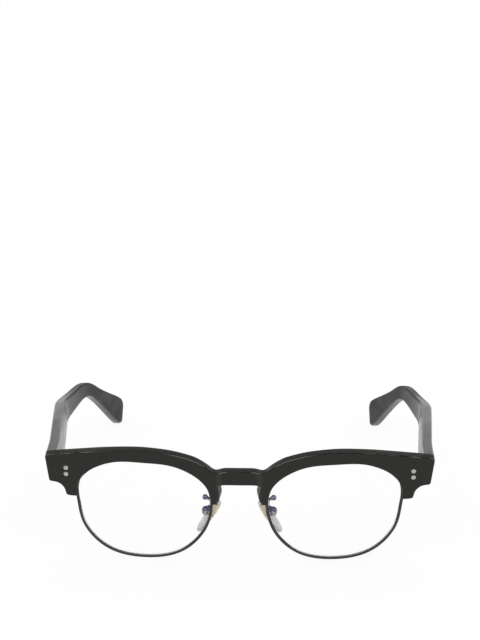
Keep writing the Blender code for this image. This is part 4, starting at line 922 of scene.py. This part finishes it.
def brow_blank():
    loops = []
    for depth in (0.0, BROW_THICKNESS):
        half = evened(brow_half(depth), HALF_STEPS)
        whole = half + [Vector((-p.x, p.y)) for p in reversed(half[1:-1])]
        loops.append([Vector((p.x, depth, p.y)) for p in softened(whole, SOFTENINGS)])
    bm = bmesh.new()
    bm.from_mesh(lofted(loops))
    caps = [face for face in bm.faces if len(face.verts) > 4]
    rims = list({edge for face in caps for edge in face.edges})
    bmesh.ops.bevel(
        bm, geom=rims, offset=BROW_EASE, offset_type="OFFSET", segments=4, profile=0.5,
        affect="EDGES", material=-1, clamp_overlap=False,
    )
    return mesh_of(bm)


blank = brow_blank()
print("brow blank", len(blank.vertices), "vertices")

# %% [markdown]
# From behind, the brow is cut for what it carries: a seat for each rim, with room for its block
# and ears, holes for their screws, recesses for the hinge leaves, and holes for the pins. Each
# cutter is the outline of its piece, moved out by the gap.
# The bridge stands 0.7 mm proud of the brow's face, which leaves a soft step at each end.

# %% Cut and bend the brow
KNUCKLES, KNUCKLE_RADIUS, KNUCKLE_HEIGHT, KNUCKLE_GAP = 5, 0.00125, 0.00115, 0.0001
KNUCKLES_HEIGHT = KNUCKLES * KNUCKLE_HEIGHT + (KNUCKLES - 1) * KNUCKLE_GAP
LEAF_OFFSET, LEAF_THICKNESS, LEAF_PROUD, LEAF_REACH = KNUCKLE_RADIUS + 0.0003, 0.0009, 0.0001, 0.0048
TEMPLE_THICKNESS = 0.0039
HINGE_LEVEL = END_TOP - 0.0059
RIVET_PLACE, RIVET_PITCH, RIVET_HEAD = END_HALF_WIDTH - 0.0074, 0.00255, 0.0009
RIVET_HOLE = RIVET_HEAD + 0.00004
BRIDGE_PROUD, PROUD_END, PROUD_FADE = 0.0007, 0.90 * NOSE_EDGE, 0.28 * NOSE_EDGE
SEAT_EASE, POCKET_SINK, POCKET_ROOM = 0.00012, 0.0001, 0.0003
TAB_HOLE, TAB_HOLE_DEPTH = 0.0005, 0.0009


def hinge_frame():
    """The hinge axis in the front's own frame: Z along it, Y to the back, X outwards."""
    level = END_TOP - HINGE_LEVEL
    out = END_HALF_WIDTH - (LEAF_OFFSET + TEMPLE_THICKNESS + level * math.sin(CANT)) / math.cos(CANT)
    depth = BROW_THICKNESS + LEAF_OFFSET
    flat = BEND_RADIUS * math.asin(out / (BEND_RADIUS - depth))
    place = Matrix.Translation(bend_point(Vector((flat, depth, HINGE_LEVEL))))
    return place @ Matrix.Rotation(CANT, 4, "Y")


HINGE = hinge_frame()
END_TURN = math.asin(HINGE.translation.x / (BEND_RADIUS - BROW_THICKNESS - LEAF_OFFSET))


def smooth_step(t):
    """From 0 to 1 while t does, with a soft start and end."""
    t = min(max(t, 0.0), 1.0)
    return t * t * (3 - 2 * t)


def bridge_push(x):
    return BRIDGE_PROUD * smooth_step((PROUD_END - abs(x)) / PROUD_FADE)


def brow_tools():
    """Everything that is cut out of the left half of the flat brow."""
    behind = BROW_THICKNESS + PAST
    room = RIM_WALL + SEAT_GAP
    wide = room + SEAT_EASE * 2
    mouth = ((room, BROW_THICKNESS - SEAT_EASE), (wide, BROW_THICKNESS + SEAT_EASE), (wide, behind))
    seat = lofted([lens_ring(offset, y) for offset, y in ((room, BROW_LIP), *mouth)])
    low, high = lock_box(SEAT_GAP)
    (_, side_z, _), (nose_x, nose_z, _) = tab_places()
    floor, ceiling = BROW_LIP - POCKET_SINK, side_z + TAB_RADIUS + POCKET_ROOM
    pocket = block((low[0] - RIM_WALL, floor, low[2] - PAST), (high[0], behind, ceiling))
    tools = [seat, pocket, tab_shape(nose_x, nose_z, -1, SEAT_GAP, floor, behind)]
    for x, z, _ in tab_places():
        tools.append(rod_along_y(TAB_HOLE, BROW_LIP - TAB_HOLE_DEPTH, behind, x, z))
    for step in (1, -1):
        level = HINGE_LEVEL + step * RIVET_PITCH / 2
        tools.append(rod_along_y(RIVET_HOLE, -PAST, behind, RIVET_PLACE, level))
    half = KNUCKLES_HEIGHT / 2 + SEAT_GAP
    leaf_floor = BROW_THICKNESS + LEAF_PROUD - LEAF_THICKNESS - SEAT_GAP
    recess = block((-LEAF_REACH - SEAT_GAP, leaf_floor, -half), (KNUCKLE_RADIUS + SEAT_GAP, behind, half))
    turn = Matrix.Translation((BEND_RADIUS * END_TURN, 0.0, HINGE_LEVEL)) @ Matrix.Rotation(CANT, 4, "Y")
    return tools + [moved(recess, turn)]


cutters = brow_tools()
cutters += [moved(tool.copy(), FLIP) for tool in cutters]
brow = moved(bent(carved(blank, cutters), bridge_push), FRONT)
place_piece("front_brow_smooth", brow, [acetate], "front_brow", "front", sharp=32.0)
print("brow", len(brow.polygons), "faces after", len(cutters), "cuts")

# %% [markdown]
# Pins hold the hinge leaves. On the front their heads are ground flush with the acetate and show
# as two bright dots on each end piece. A pin is spun: half an outline goes round the axis once.

# %% Pins
PIN_RADIUS, PIN_FOOT, PIN_HEAD_DEPTH, PIN_EXTRA = 0.0006, 0.00085, 0.0010, 0.0001
TEMPLE_PIN_BACK, TEMPLE_PIN_PITCH = 0.0033, 0.0043


def pin_shape(thickness):
    """A pin along +Y: its ground head first and its upset end past acetate and leaf."""
    end = thickness + LEAF_PROUD + PIN_EXTRA
    profile = (
        (0.0, -0.00012), (0.0004, -0.00011), (0.0007, -0.00005), (RIVET_HEAD, 0.00005),
        (RIVET_HEAD, PIN_HEAD_DEPTH), (PIN_RADIUS, PIN_HEAD_DEPTH), (PIN_RADIUS, end), (PIN_FOOT, end),
        (0.00083, end + 0.00012), (PIN_RADIUS, end + 0.00027), (0.0, end + 0.0003),
    )
    return moved(spun(profile), Z_TO_Y)


def front_pin_frames():
    return [bend_frame(RIVET_PLACE, 0.0, HINGE_LEVEL + step * RIVET_PITCH / 2) for step in (1, -1)]


def temple_pin_frames():
    """Y runs in from the temple's outer face, in the hinge frame."""
    outside = Matrix.Translation((LEAF_OFFSET + TEMPLE_THICKNESS, TEMPLE_PIN_BACK, 0.0))
    quarter = Matrix.Rotation(math.pi / 2, 4, "Z")
    levels = (step * TEMPLE_PIN_PITCH / 2 for step in (1, -1))
    return [outside @ Matrix.Translation((0.0, 0.0, level)) @ quarter for level in levels]


for name, at in zip(("upper_front_rivet", "lower_front_rivet"), front_pin_frames()):
    pin = pin_shape(BROW_THICKNESS)
    pair_piece(name, pin, [pin_steel], "front", FRONT @ at)
for name, at in zip(("upper_temple_rivet", "lower_temple_rivet"), temple_pin_frames()):
    pin = pin_shape(TEMPLE_THICKNESS)
    pair_piece(name, pin, [pin_steel], "temple_body", FRONT @ HINGE @ at)

# %% [markdown]
# Screws are spun too, and their slot is then cut. Each is made with the underside of its head at
# the origin, so that it can be set down on what it holds: the rim's block, its two ears and the
# knuckles of the hinge.

# %% Screws
SCREW_HEAD_HEIGHT, SLOT_WIDTH, SLOT_FLOOR_SHARE = 0.0006, 0.0003, 0.45
SCREW_HEAD_SHARES = ((0.97, 0.0), (1.0, 0.06), (1.0, 0.55), (0.93, 0.76), (0.7, 0.94), (0.0, 1.0))
RIM_SCREW, RIM_SCREW_HEAD, LOCK_SCREW_LENGTH, TAB_SCREW_LENGTH = 0.0004, 0.0009, 0.0028, 0.0020
HINGE_SCREW, HINGE_SCREW_HEAD = 0.00062, 0.00105


def screw_shape(radius, head, length):
    """A slotted screw along Z, head up."""
    top = SCREW_HEAD_HEIGHT
    profile = [(0.0, -length), (radius * 0.6, -length), (radius, -length + radius), (radius, 0.0)]
    profile += [(head * out, top * up) for out, up in SCREW_HEAD_SHARES]
    reach, half = head + JUST_PAST, SLOT_WIDTH / 2
    slot = block((-reach, -half, top * SLOT_FLOOR_SHARE), (reach, half, top + JUST_PAST))
    return carved(spun(profile), [slot])


def steel_screw(name, radius, head, length, at):
    screw = screw_shape(radius, head, length)
    pair_piece(name, screw, [hinge_steel], "front", FRONT @ at)


below_lock = bend_frame(*lock_place(), LOCK_LEVEL - LOCK_HEIGHT / 2 - SEAT_GAP)
below_lock = below_lock @ Matrix.Rotation(math.pi, 4, "X")
steel_screw("rim_lock_screw", RIM_SCREW, RIM_SCREW_HEAD, LOCK_SCREW_LENGTH, below_lock)
for name, (x, z, _) in zip(("side_rim_screw", "nose_rim_screw"), tab_places()):
    on_tab = bend_frame(x, RIM_FRONT + TAB_THICKNESS + SEAT_GAP, z) @ Z_TO_Y
    steel_screw(name, RIM_SCREW, RIM_SCREW_HEAD, TAB_SCREW_LENGTH, on_tab)
on_knuckles = HINGE @ Matrix.Translation((0.0, 0.0, KNUCKLES_HEIGHT / 2 + SEAT_GAP))
steel_screw("hinge_screw", HINGE_SCREW, HINGE_SCREW_HEAD, KNUCKLES_HEIGHT + SEAT_GAP, on_knuckles)

# %% [markdown]
# A hinge is two leaves whose knuckles mesh round one screw: three knuckles on the front and two
# on the temple. Both leaves start as the same section, a plate that runs into a round knuckle,
# pushed up to the full height. The knuckles of the other leaf are cleared, and the edges are
# eased with a Bevel modifier, whose result is kept.

# %% Hinge leaves
LEAF_WEB, LEAF_LIP, HINGE_BORE, LEAF_EASE, LEAF_DRILL = 0.0006, 0.0007, 0.0007, 0.00005, 0.007
SWAP = Matrix(((0.0, -1.0, 0.0, 0.0), (-1.0, 0.0, 0.0, 0.0), (0.0, 0.0, 1.0, 0.0), (0.0, 0.0, 0.0, 1.0)))


def eased(mesh, width):
    """The mesh after a Bevel modifier on its sharper edges."""
    obj = bpy.data.objects.new("eased", mesh)
    scene.collection.objects.link(obj)
    bevel = obj.modifiers.new("bevel", "BEVEL")
    bevel.width, bevel.segments, bevel.limit_method = width, 2, "ANGLE"
    bevel.angle_limit = math.radians(30.0)
    bm = after_modifiers(obj)
    bpy.data.objects.remove(obj, do_unlink=True)
    return mesh_of(bm)


def leaf_shape(kept):
    """A leaf with Z on the hinge axis, keeping some knuckles counted from below."""
    half, back = KNUCKLES_HEIGHT / 2, -LEAF_OFFSET + LEAF_PROUD
    front = back - LEAF_THICKNESS
    corners = ((-LEAF_REACH, front), (LEAF_LIP, front), (LEAF_LIP, back), (LEAF_WEB, back))
    start = -math.degrees(math.acos(LEAF_WEB / KNUCKLE_RADIUS))
    section = [Vector(corner) for corner in corners] + arc(0.0, 0.0, KNUCKLE_RADIUS, start, 180, 36)
    section += [Vector((-KNUCKLE_RADIUS, back)), Vector((-LEAF_REACH, back))]
    leaf = lofted([[Vector((p.x, p.y, z)) for p in section] for z in (-half, half)])
    tools, clear = [], KNUCKLE_RADIUS + KNUCKLE_GAP
    for level in range(KNUCKLES):
        if level not in kept:
            low = -half + level * (KNUCKLE_HEIGHT + KNUCKLE_GAP)
            under = PAST if level == 0 else KNUCKLE_GAP
            over = PAST if level == KNUCKLES - 1 else KNUCKLE_GAP
            high = low + KNUCKLE_HEIGHT + over
            tools.append(block((-clear, -clear, low - under), (clear, clear, high)))
    tools.append(rod(HINGE_BORE, -half - PAST, half + PAST))
    return carved(leaf, tools)


def pin_holes(frames):
    return [moved(rod(HINGE_BORE, 0.0, LEAF_DRILL), at @ Z_TO_Y) for at in frames]


to_hinge = HINGE.inverted()
front_leaf = moved(leaf_shape((0, 2, 4)), Matrix.Rotation(END_TURN, 4, "Z"))
front_leaf = carved(front_leaf, pin_holes([to_hinge @ at for at in front_pin_frames()]))
temple_leaf = carved(moved(leaf_shape((1, 3)), SWAP), pin_holes(temple_pin_frames()))
for name, leaf, body in (("front", front_leaf, "front"), ("temple", temple_leaf, "temple_body")):
    leaf = eased(leaf, LEAF_EASE)
    pair_piece(f"{name}_hinge_leaf", leaf, [hinge_steel], body, FRONT @ HINGE)

# %% [markdown]
# A temple starts nearly as high as the end piece, slims over the ear and ends in a flat paddle.
# It is heated to bend: a little outwards at the hinge, inwards before the ear, and down over it.
# Its middle line is walked in short steps whose heading turns smoothly at each bend, and a
# section with rounded corners is set square to it at each place. The sections are bridged.

# %% Temple line and sections
TEMPLE_LENGTH, TEMPLE_HEIGHT, TIP_ROUND = 0.1350, 0.0102, 0.0055
TEMPLE_RISE, TEMPLE_LEAN, WALK_STEP = 0.00096, 7.0, 0.001125
SECTION_STEP, LAST_STEP, EDGE_ROUND = 0.0015, 0.0005, 0.0008
TIP_HEIGHT_SHARE, TIP_THICKNESS_SHARE = 0.42, 0.55
# Each bend: its degrees, where it starts along the temple and how long it takes.
OUTWARD_BEND, INWARD_BEND = (3.6, 0.0070, 0.0120), (16.5, 0.0530, 0.0130)
EAR_BEND = (33.0, 0.0765, 0.0240)
# Places along the temple, heights and thicknesses, all as shares.
FORM_SHARES = (
    (-0.03, 1.0, 1.0), (0.10, 1.0, 1.0), (0.26, 0.99, 1.0), (0.42, 0.89, 1.0), (0.55, 0.66, 0.92),
    (0.66, 0.56, 0.86), (0.76, 0.58, 0.84), (0.86, 0.80, 0.84), (0.94, 1.02, 0.84), (1.0, 1.06, 0.84),
)


def temple_heading(s):
    """The temple's direction, side and up vectors at a length along its middle line."""

    def bend(degrees, start, length):
        return math.radians(degrees) * smooth_step((s - start) / length)

    turn = bend(*INWARD_BEND) - bend(*OUTWARD_BEND)
    drop = math.radians(TEMPLE_LEAN) + bend(*EAR_BEND)
    side = Vector((math.cos(turn), math.sin(turn), 0.0))
    along = Vector((-math.sin(turn) * math.cos(drop), math.cos(turn) * math.cos(drop), -math.sin(drop)))
    return along, side, side.cross(along)


def temple_point(s):
    """The middle line's point at a length, by adding up short steps from the hinge."""
    point = Vector((LEAF_OFFSET + TEMPLE_THICKNESS / 2, 0.0, TEMPLE_RISE))
    count = max(1, round(abs(s) / WALK_STEP))
    for i in range(count):
        point = point + temple_heading((i + 0.5) * s / count)[0] * (s / count)
    return point


def temple_form(s):
    """The temple's height and thickness at a length."""
    share, rows = s / TEMPLE_LENGTH, FORM_SHARES
    i = max(k for k in range(len(rows) - 1) if rows[k][0] <= share or k == 0)
    near = [Vector(rows[min(max(k, 0), len(rows) - 1)]) for k in range(i - 1, i + 3)]
    t = (share - rows[i][0]) / (rows[i + 1][0] - rows[i][0])
    form = between(*near, t) if i > 2 else near[1].lerp(near[2], t)
    return form.y * TEMPLE_HEIGHT, form.z * TEMPLE_THICKNESS


def temple_section(s):
    height, thickness = temple_form(s)
    left = TEMPLE_LENGTH - s
    if left < TIP_ROUND:
        closing = math.sqrt(max(1 - (1 - left / TIP_ROUND) ** 2, 0.0))
        height *= TIP_HEIGHT_SHARE + (1 - TIP_HEIGHT_SHARE) * closing
        thickness *= TIP_THICKNESS_SHARE + (1 - TIP_THICKNESS_SHARE) * closing
    _, side, up = temple_heading(s)
    middle, edge = temple_point(s), min(EDGE_ROUND, thickness * 0.3)
    points = []
    for across, above, quarter in ((1, 1, 0), (-1, 1, 1), (-1, -1, 2), (1, -1, 3)):
        for k in range(7):
            angle = math.pi / 2 * (quarter + k / 6)
            x = across * (thickness / 2 - edge) + edge * math.cos(angle)
            z = above * (height / 2 - edge) + edge * math.sin(angle)
            points.append(middle + side * x + up * z)
    return points


places = [-PAST + SECTION_STEP * i for i in range(90)]
places = [s for s in places if s < TEMPLE_LENGTH - TIP_ROUND - LAST_STEP]
places += [TEMPLE_LENGTH - TIP_ROUND * (1 - math.sin(math.pi / 2 * k / 14)) for k in range(15)]
temple_blank = lofted([temple_section(s) for s in places])
print("temple of", len(places), "sections,", round(TEMPLE_LENGTH * 1000), "mm from the hinge")

# %% [markdown]
# The temple is then cut: its butt end at the angle of the front, a recess for its hinge leaf,
# stepped holes for its pins, and the channel that the core wire was shot into.

# %% Cut the temple
CHANNEL_START, CHANNEL_END, CHANNEL_RADIUS = -0.006, 0.0983, 0.0008
CHANNEL_INSET, CHANNEL_DROP = 0.0018, 0.00047
PIN_HEAD_HOLE, BUTT_GAP = 0.0011, 0.0003


def round_ring(middle, side, up, radius, sides):
    """Points of a circle round a middle, square to the line that it is carried along."""
    turns = (math.tau * k / sides for k in range(sides))
    return [middle + side * (radius * math.cos(a)) + up * (radius * math.sin(a)) for a in turns]


def core_channel():
    rings = []
    for i in range(40):
        s = CHANNEL_START + (CHANNEL_END - CHANNEL_START) * i / 39
        _, side, up = temple_heading(s)
        middle = temple_point(s) + side * (TEMPLE_THICKNESS / 2 - CHANNEL_INSET) - up * CHANNEL_DROP
        rings.append(round_ring(middle, side, up, CHANNEL_RADIUS, 24))
    return lofted(rings)


def temple_shape():
    half = KNUCKLES_HEIGHT / 2 + SEAT_GAP
    inner = LEAF_OFFSET - LEAF_PROUD + LEAF_THICKNESS + SEAT_GAP
    tools = [block((0.0, -PAST * 2, -half), (inner, LEAF_REACH + SEAT_GAP, half)), core_channel()]
    for at in temple_pin_frames():
        tools.append(moved(rod(RIVET_HOLE, -PAST, PIN_HEAD_HOLE), at @ Z_TO_Y))
        tools.append(moved(rod(HINGE_BORE, 0.0, TEMPLE_THICKNESS), at @ Z_TO_Y))
    reach = TEMPLE_HEIGHT
    trim = block((-reach, -reach, -reach), (reach, -LEAF_OFFSET + BUTT_GAP, reach))
    tools.append(moved(trim, Matrix.Rotation(END_TURN, 4, "Z")))
    return carved(temple_blank, tools)


pair_piece("temple", temple_shape(), [temple_black], "temple_body", FRONT @ HINGE)

# %% [markdown]
# Each pad arm is a short foot soldered beside the rim, a wire that runs back and up behind the
# brow, turns once and comes down, and a small round box with a slot. The pad's boss sits in the
# slot and rocks on a screw.
# The wire is a ring carried along a smooth line, turned as little as possible from step to step
# so that it does not twist.

# %% Pad arms
ARM_RADIUS, ARM_SIDES = 0.0005, 20
PAD_LEVEL, PAD_OUT, PAD_BACK = NOSE_LOBE_BOTTOM - 0.0051, 0.0019, 0.0065
PAD_TOE, PAD_SPLAY = math.radians(-6.0), math.radians(-36.0)
PAD_BOX, PAD_BOX_WIDTH, PAD_BOX_EASE = 0.0016, 0.0026, 0.0005
PAD_SLOT, PAD_SLOT_END, PAD_BORE = 0.0014, 0.00125, 0.0006
PAD_SCREW, PAD_SCREW_HEAD = 0.0005, 0.0010
FOOT_REACH, FOOT_TOP, FOOT_TALL, FOOT_THICKNESS = 0.0023, 0.0025, 0.0052, 0.0016
FOOT_WIDTH, FOOT_TAPER, FOOT_EASE, GOLD_DEPTH = 0.0017, 0.0010, 0.0002, 0.0017
ARM_FOOT_LEVEL = NOSE_LOBE_BOTTOM - LOBE_GAP - FOOT_REACH
ARM_INSET, BEHIND_BROW, PRONG_BACK = 0.0006, 0.0003, 0.0010
LOOP_RADIUS, LOOP_STRETCH, LOOP_OUT, LOOP_RISE = 0.0008, 1.35, 0.0020, 0.0059
LOOP_STEPS = ((155, 0.0), (90, 0.15), (25, 0.35), (-40, 0.6), (-105, 0.8))
LOOP_END_OUT, LOOP_END_RISE = 0.0004, 0.0042


def pad_frame():
    """The pad screw's place and turn: Y along the screw, X out from the pad, Z up the pad."""
    place = Matrix.Translation((NOSE_EDGE + PAD_OUT, PAD_BACK, PAD_LEVEL))
    return place @ Matrix.Rotation(PAD_TOE, 4, "Z") @ Matrix.Rotation(PAD_SPLAY, 4, "Y")


PAD = pad_frame()


def wire(points):
    rings, side = [], None
    for i, point in enumerate(points):
        along = (points[min(i + 1, len(points) - 1)] - points[max(i - 1, 0)]).normalized()
        side = side or along.orthogonal().normalized()
        side = (side - along * side.dot(along)).normalized()
        rings.append(round_ring(point, side, along.cross(side), ARM_RADIUS, ARM_SIDES))
    return lofted(rings)


def foot_edge():
    """How far out the foot reaches, clear of the rim along its whole height."""
    levels = (ARM_FOOT_LEVEL + step * FOOT_REACH for step in (-1, 0, 1))
    return min(rim_edge_at(level, -1, RIM_WALL) for level in levels) - SEAT_GAP


def foot_plate():
    """The plate beside the rim: it follows the rim's curve and narrows downwards."""
    levels = [ARM_FOOT_LEVEL + FOOT_TOP - FOOT_TALL * i / 8 for i in range(9)]
    near_rim = [(rim_edge_at(z, -1, RIM_WALL) - SEAT_GAP, z) for z in levels]
    nose_side = [(x - FOOT_WIDTH + FOOT_TAPER * i / 8, z) for i, (x, z) in enumerate(near_rim)]
    return eased(slab(near_rim + nose_side[::-1], RIM_FRONT, RIM_FRONT + FOOT_THICKNESS), FOOT_EASE)


def arm_route():
    """From the foot, back and up behind the brow, once round, and down to the box."""
    foot_x, foot_y = foot_edge() - ARM_INSET, RIM_FRONT + FOOT_THICKNESS
    low = ARM_FOOT_LEVEL + FOOT_REACH - ARM_RADIUS * 2
    behind = BROW_THICKNESS + BEHIND_BROW + ARM_RADIUS
    points = [
        Vector((foot_x, foot_y - ARM_RADIUS, low)),
        Vector((foot_x, foot_y + ARM_RADIUS, low)),
        Vector((foot_x + ARM_RADIUS / 2, behind, low + ARM_RADIUS)),
    ]
    prong = PAD_BACK + PRONG_BACK
    for degrees, back in LOOP_STEPS:
        angle = math.radians(degrees)
        x = NOSE_EDGE + LOOP_OUT + LOOP_RADIUS * math.cos(angle)
        z = PAD_LEVEL + LOOP_RISE + LOOP_RADIUS * LOOP_STRETCH * math.sin(angle)
        points.append(Vector((x, behind + (prong - behind) * back, z)))
    points.append(Vector((NOSE_EDGE + LOOP_END_OUT, prong, PAD_LEVEL + LOOP_END_RISE)))
    into_box = ((-0.25, 1.6), (0.0, 0.8))
    return points + [PAD @ Vector((PAD_BOX * out, PRONG_BACK, PAD_BOX * up)) for out, up in into_box]


def arm_shape():
    run = wire(smooth_line(arm_route(), 10))
    half, ease = PAD_BOX_WIDTH / 2, PAD_BOX_EASE
    low_edge = arc(PAD_BOX - ease, -half + ease, ease, -90, 0, 5)
    high_edge = arc(PAD_BOX - ease, half - ease, ease, 0, 90, 5)
    drum = spun([(0.0, -half), *(tuple(point) for point in low_edge + high_edge), (0.0, half)])
    whole = carved(run, [foot_plate(), moved(drum, PAD @ Z_TO_Y)], "UNION")
    reach = PAD_BOX + PAST
    slot = block((-reach, -PAD_SLOT / 2, -reach), (PAD_SLOT_END, PAD_SLOT / 2, reach))
    bore = moved(rod(PAD_BORE, -PAD_BOX_WIDTH, PAD_BOX_WIDTH), Z_TO_Y)
    arm = carved(whole, [moved(slot, PAD), moved(bore, PAD)])
    # Behind this depth the arm gets the painted-shade steel; the foot in front keeps the gold.
    for face in arm.polygons:
        face.material_index = int(face.center.y < RIM_FRONT + GOLD_DEPTH)
    return arm


pair_piece("pad_arm", arm_shape(), [painted_shade_steel, gold], "front", FRONT)
pad_screw = screw_shape(PAD_SCREW, PAD_SCREW_HEAD, PAD_BOX_WIDTH + SEAT_GAP * 2)
on_box = Matrix.Translation((0.0, -PAD_BOX_WIDTH / 2 - SEAT_GAP, 0.0))
on_box = on_box @ Matrix.Rotation(math.pi / 2, 4, "X")
pair_piece("pad_screw", pad_screw, [pin_steel], "front", FRONT @ PAD @ on_box)

# %% [markdown]
# The pad is a soft oval, thicker in its middle and rolled at its edge, with a flat face for the
# nose and a boss on its back. Its layers are rings that draw in towards both faces.

# %% Nose pads
PAD_LENGTH, PAD_WIDTH, PAD_THICKNESS = 0.0145, 0.0075, 0.0018
PAD_ASIDE, PAD_LOWER, BOX_GAP = 0.0013, 0.0018, 0.00035
BOSS_RADIUS, BOSS_THICKNESS, PAD_POINTS = 0.0010, 0.0010, 64
PAD_LAYER_SHARES = (
    (0.0, 0.30), (0.03, 0.18), (0.10, 0.07), (0.20, 0.015), (0.32, 0.0), (0.50, 0.0), (0.64, 0.025),
    (0.78, 0.09), (0.88, 0.20), (0.95, 0.36), (0.99, 0.54), (1.0, 0.66),
)


def pad_shape():
    back, rings = -(PAD_BOX + BOX_GAP), []
    for through, inward in PAD_LAYER_SHARES:
        inset, points = inward * PAD_WIDTH / 2, []
        for i in range(PAD_POINTS):
            angle = math.tau * i / PAD_POINTS
            y = (PAD_WIDTH / 2 - inset) * math.cos(angle) + PAD_ASIDE
            z = (PAD_LENGTH / 2 - inset) * math.sin(angle) - PAD_LOWER
            points.append(Vector((back - through * PAD_THICKNESS, y, z)))
        rings.append(points)
    root = back - PAD_THICKNESS / 3
    section = [(root, -BOSS_RADIUS), *arc(0.0, 0.0, BOSS_RADIUS, -90, 90, 20), (root, BOSS_RADIUS)]
    boss = slab(section, -BOSS_THICKNESS / 2, BOSS_THICKNESS / 2)
    bore = moved(rod(PAD_BORE, -BOSS_THICKNESS * 2, BOSS_THICKNESS * 2), Z_TO_Y)
    return carved(carved(lofted(rings), [boss], "UNION"), [bore])


pair_piece("nose_pad", pad_shape(), [silicone], "pad_body", FRONT @ PAD)

# %% [markdown]
# The core wires lie inside the temples and keep their own meshes, with the hinge steel as their
# finish.

# %% Core wires and finish
for side in ("left", "right"):
    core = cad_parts[f"{side}_temple_core_wire"]
    core.data.materials.clear()
    core.data.materials.append(hinge_steel)

scene.view_settings.view_transform = "Standard"
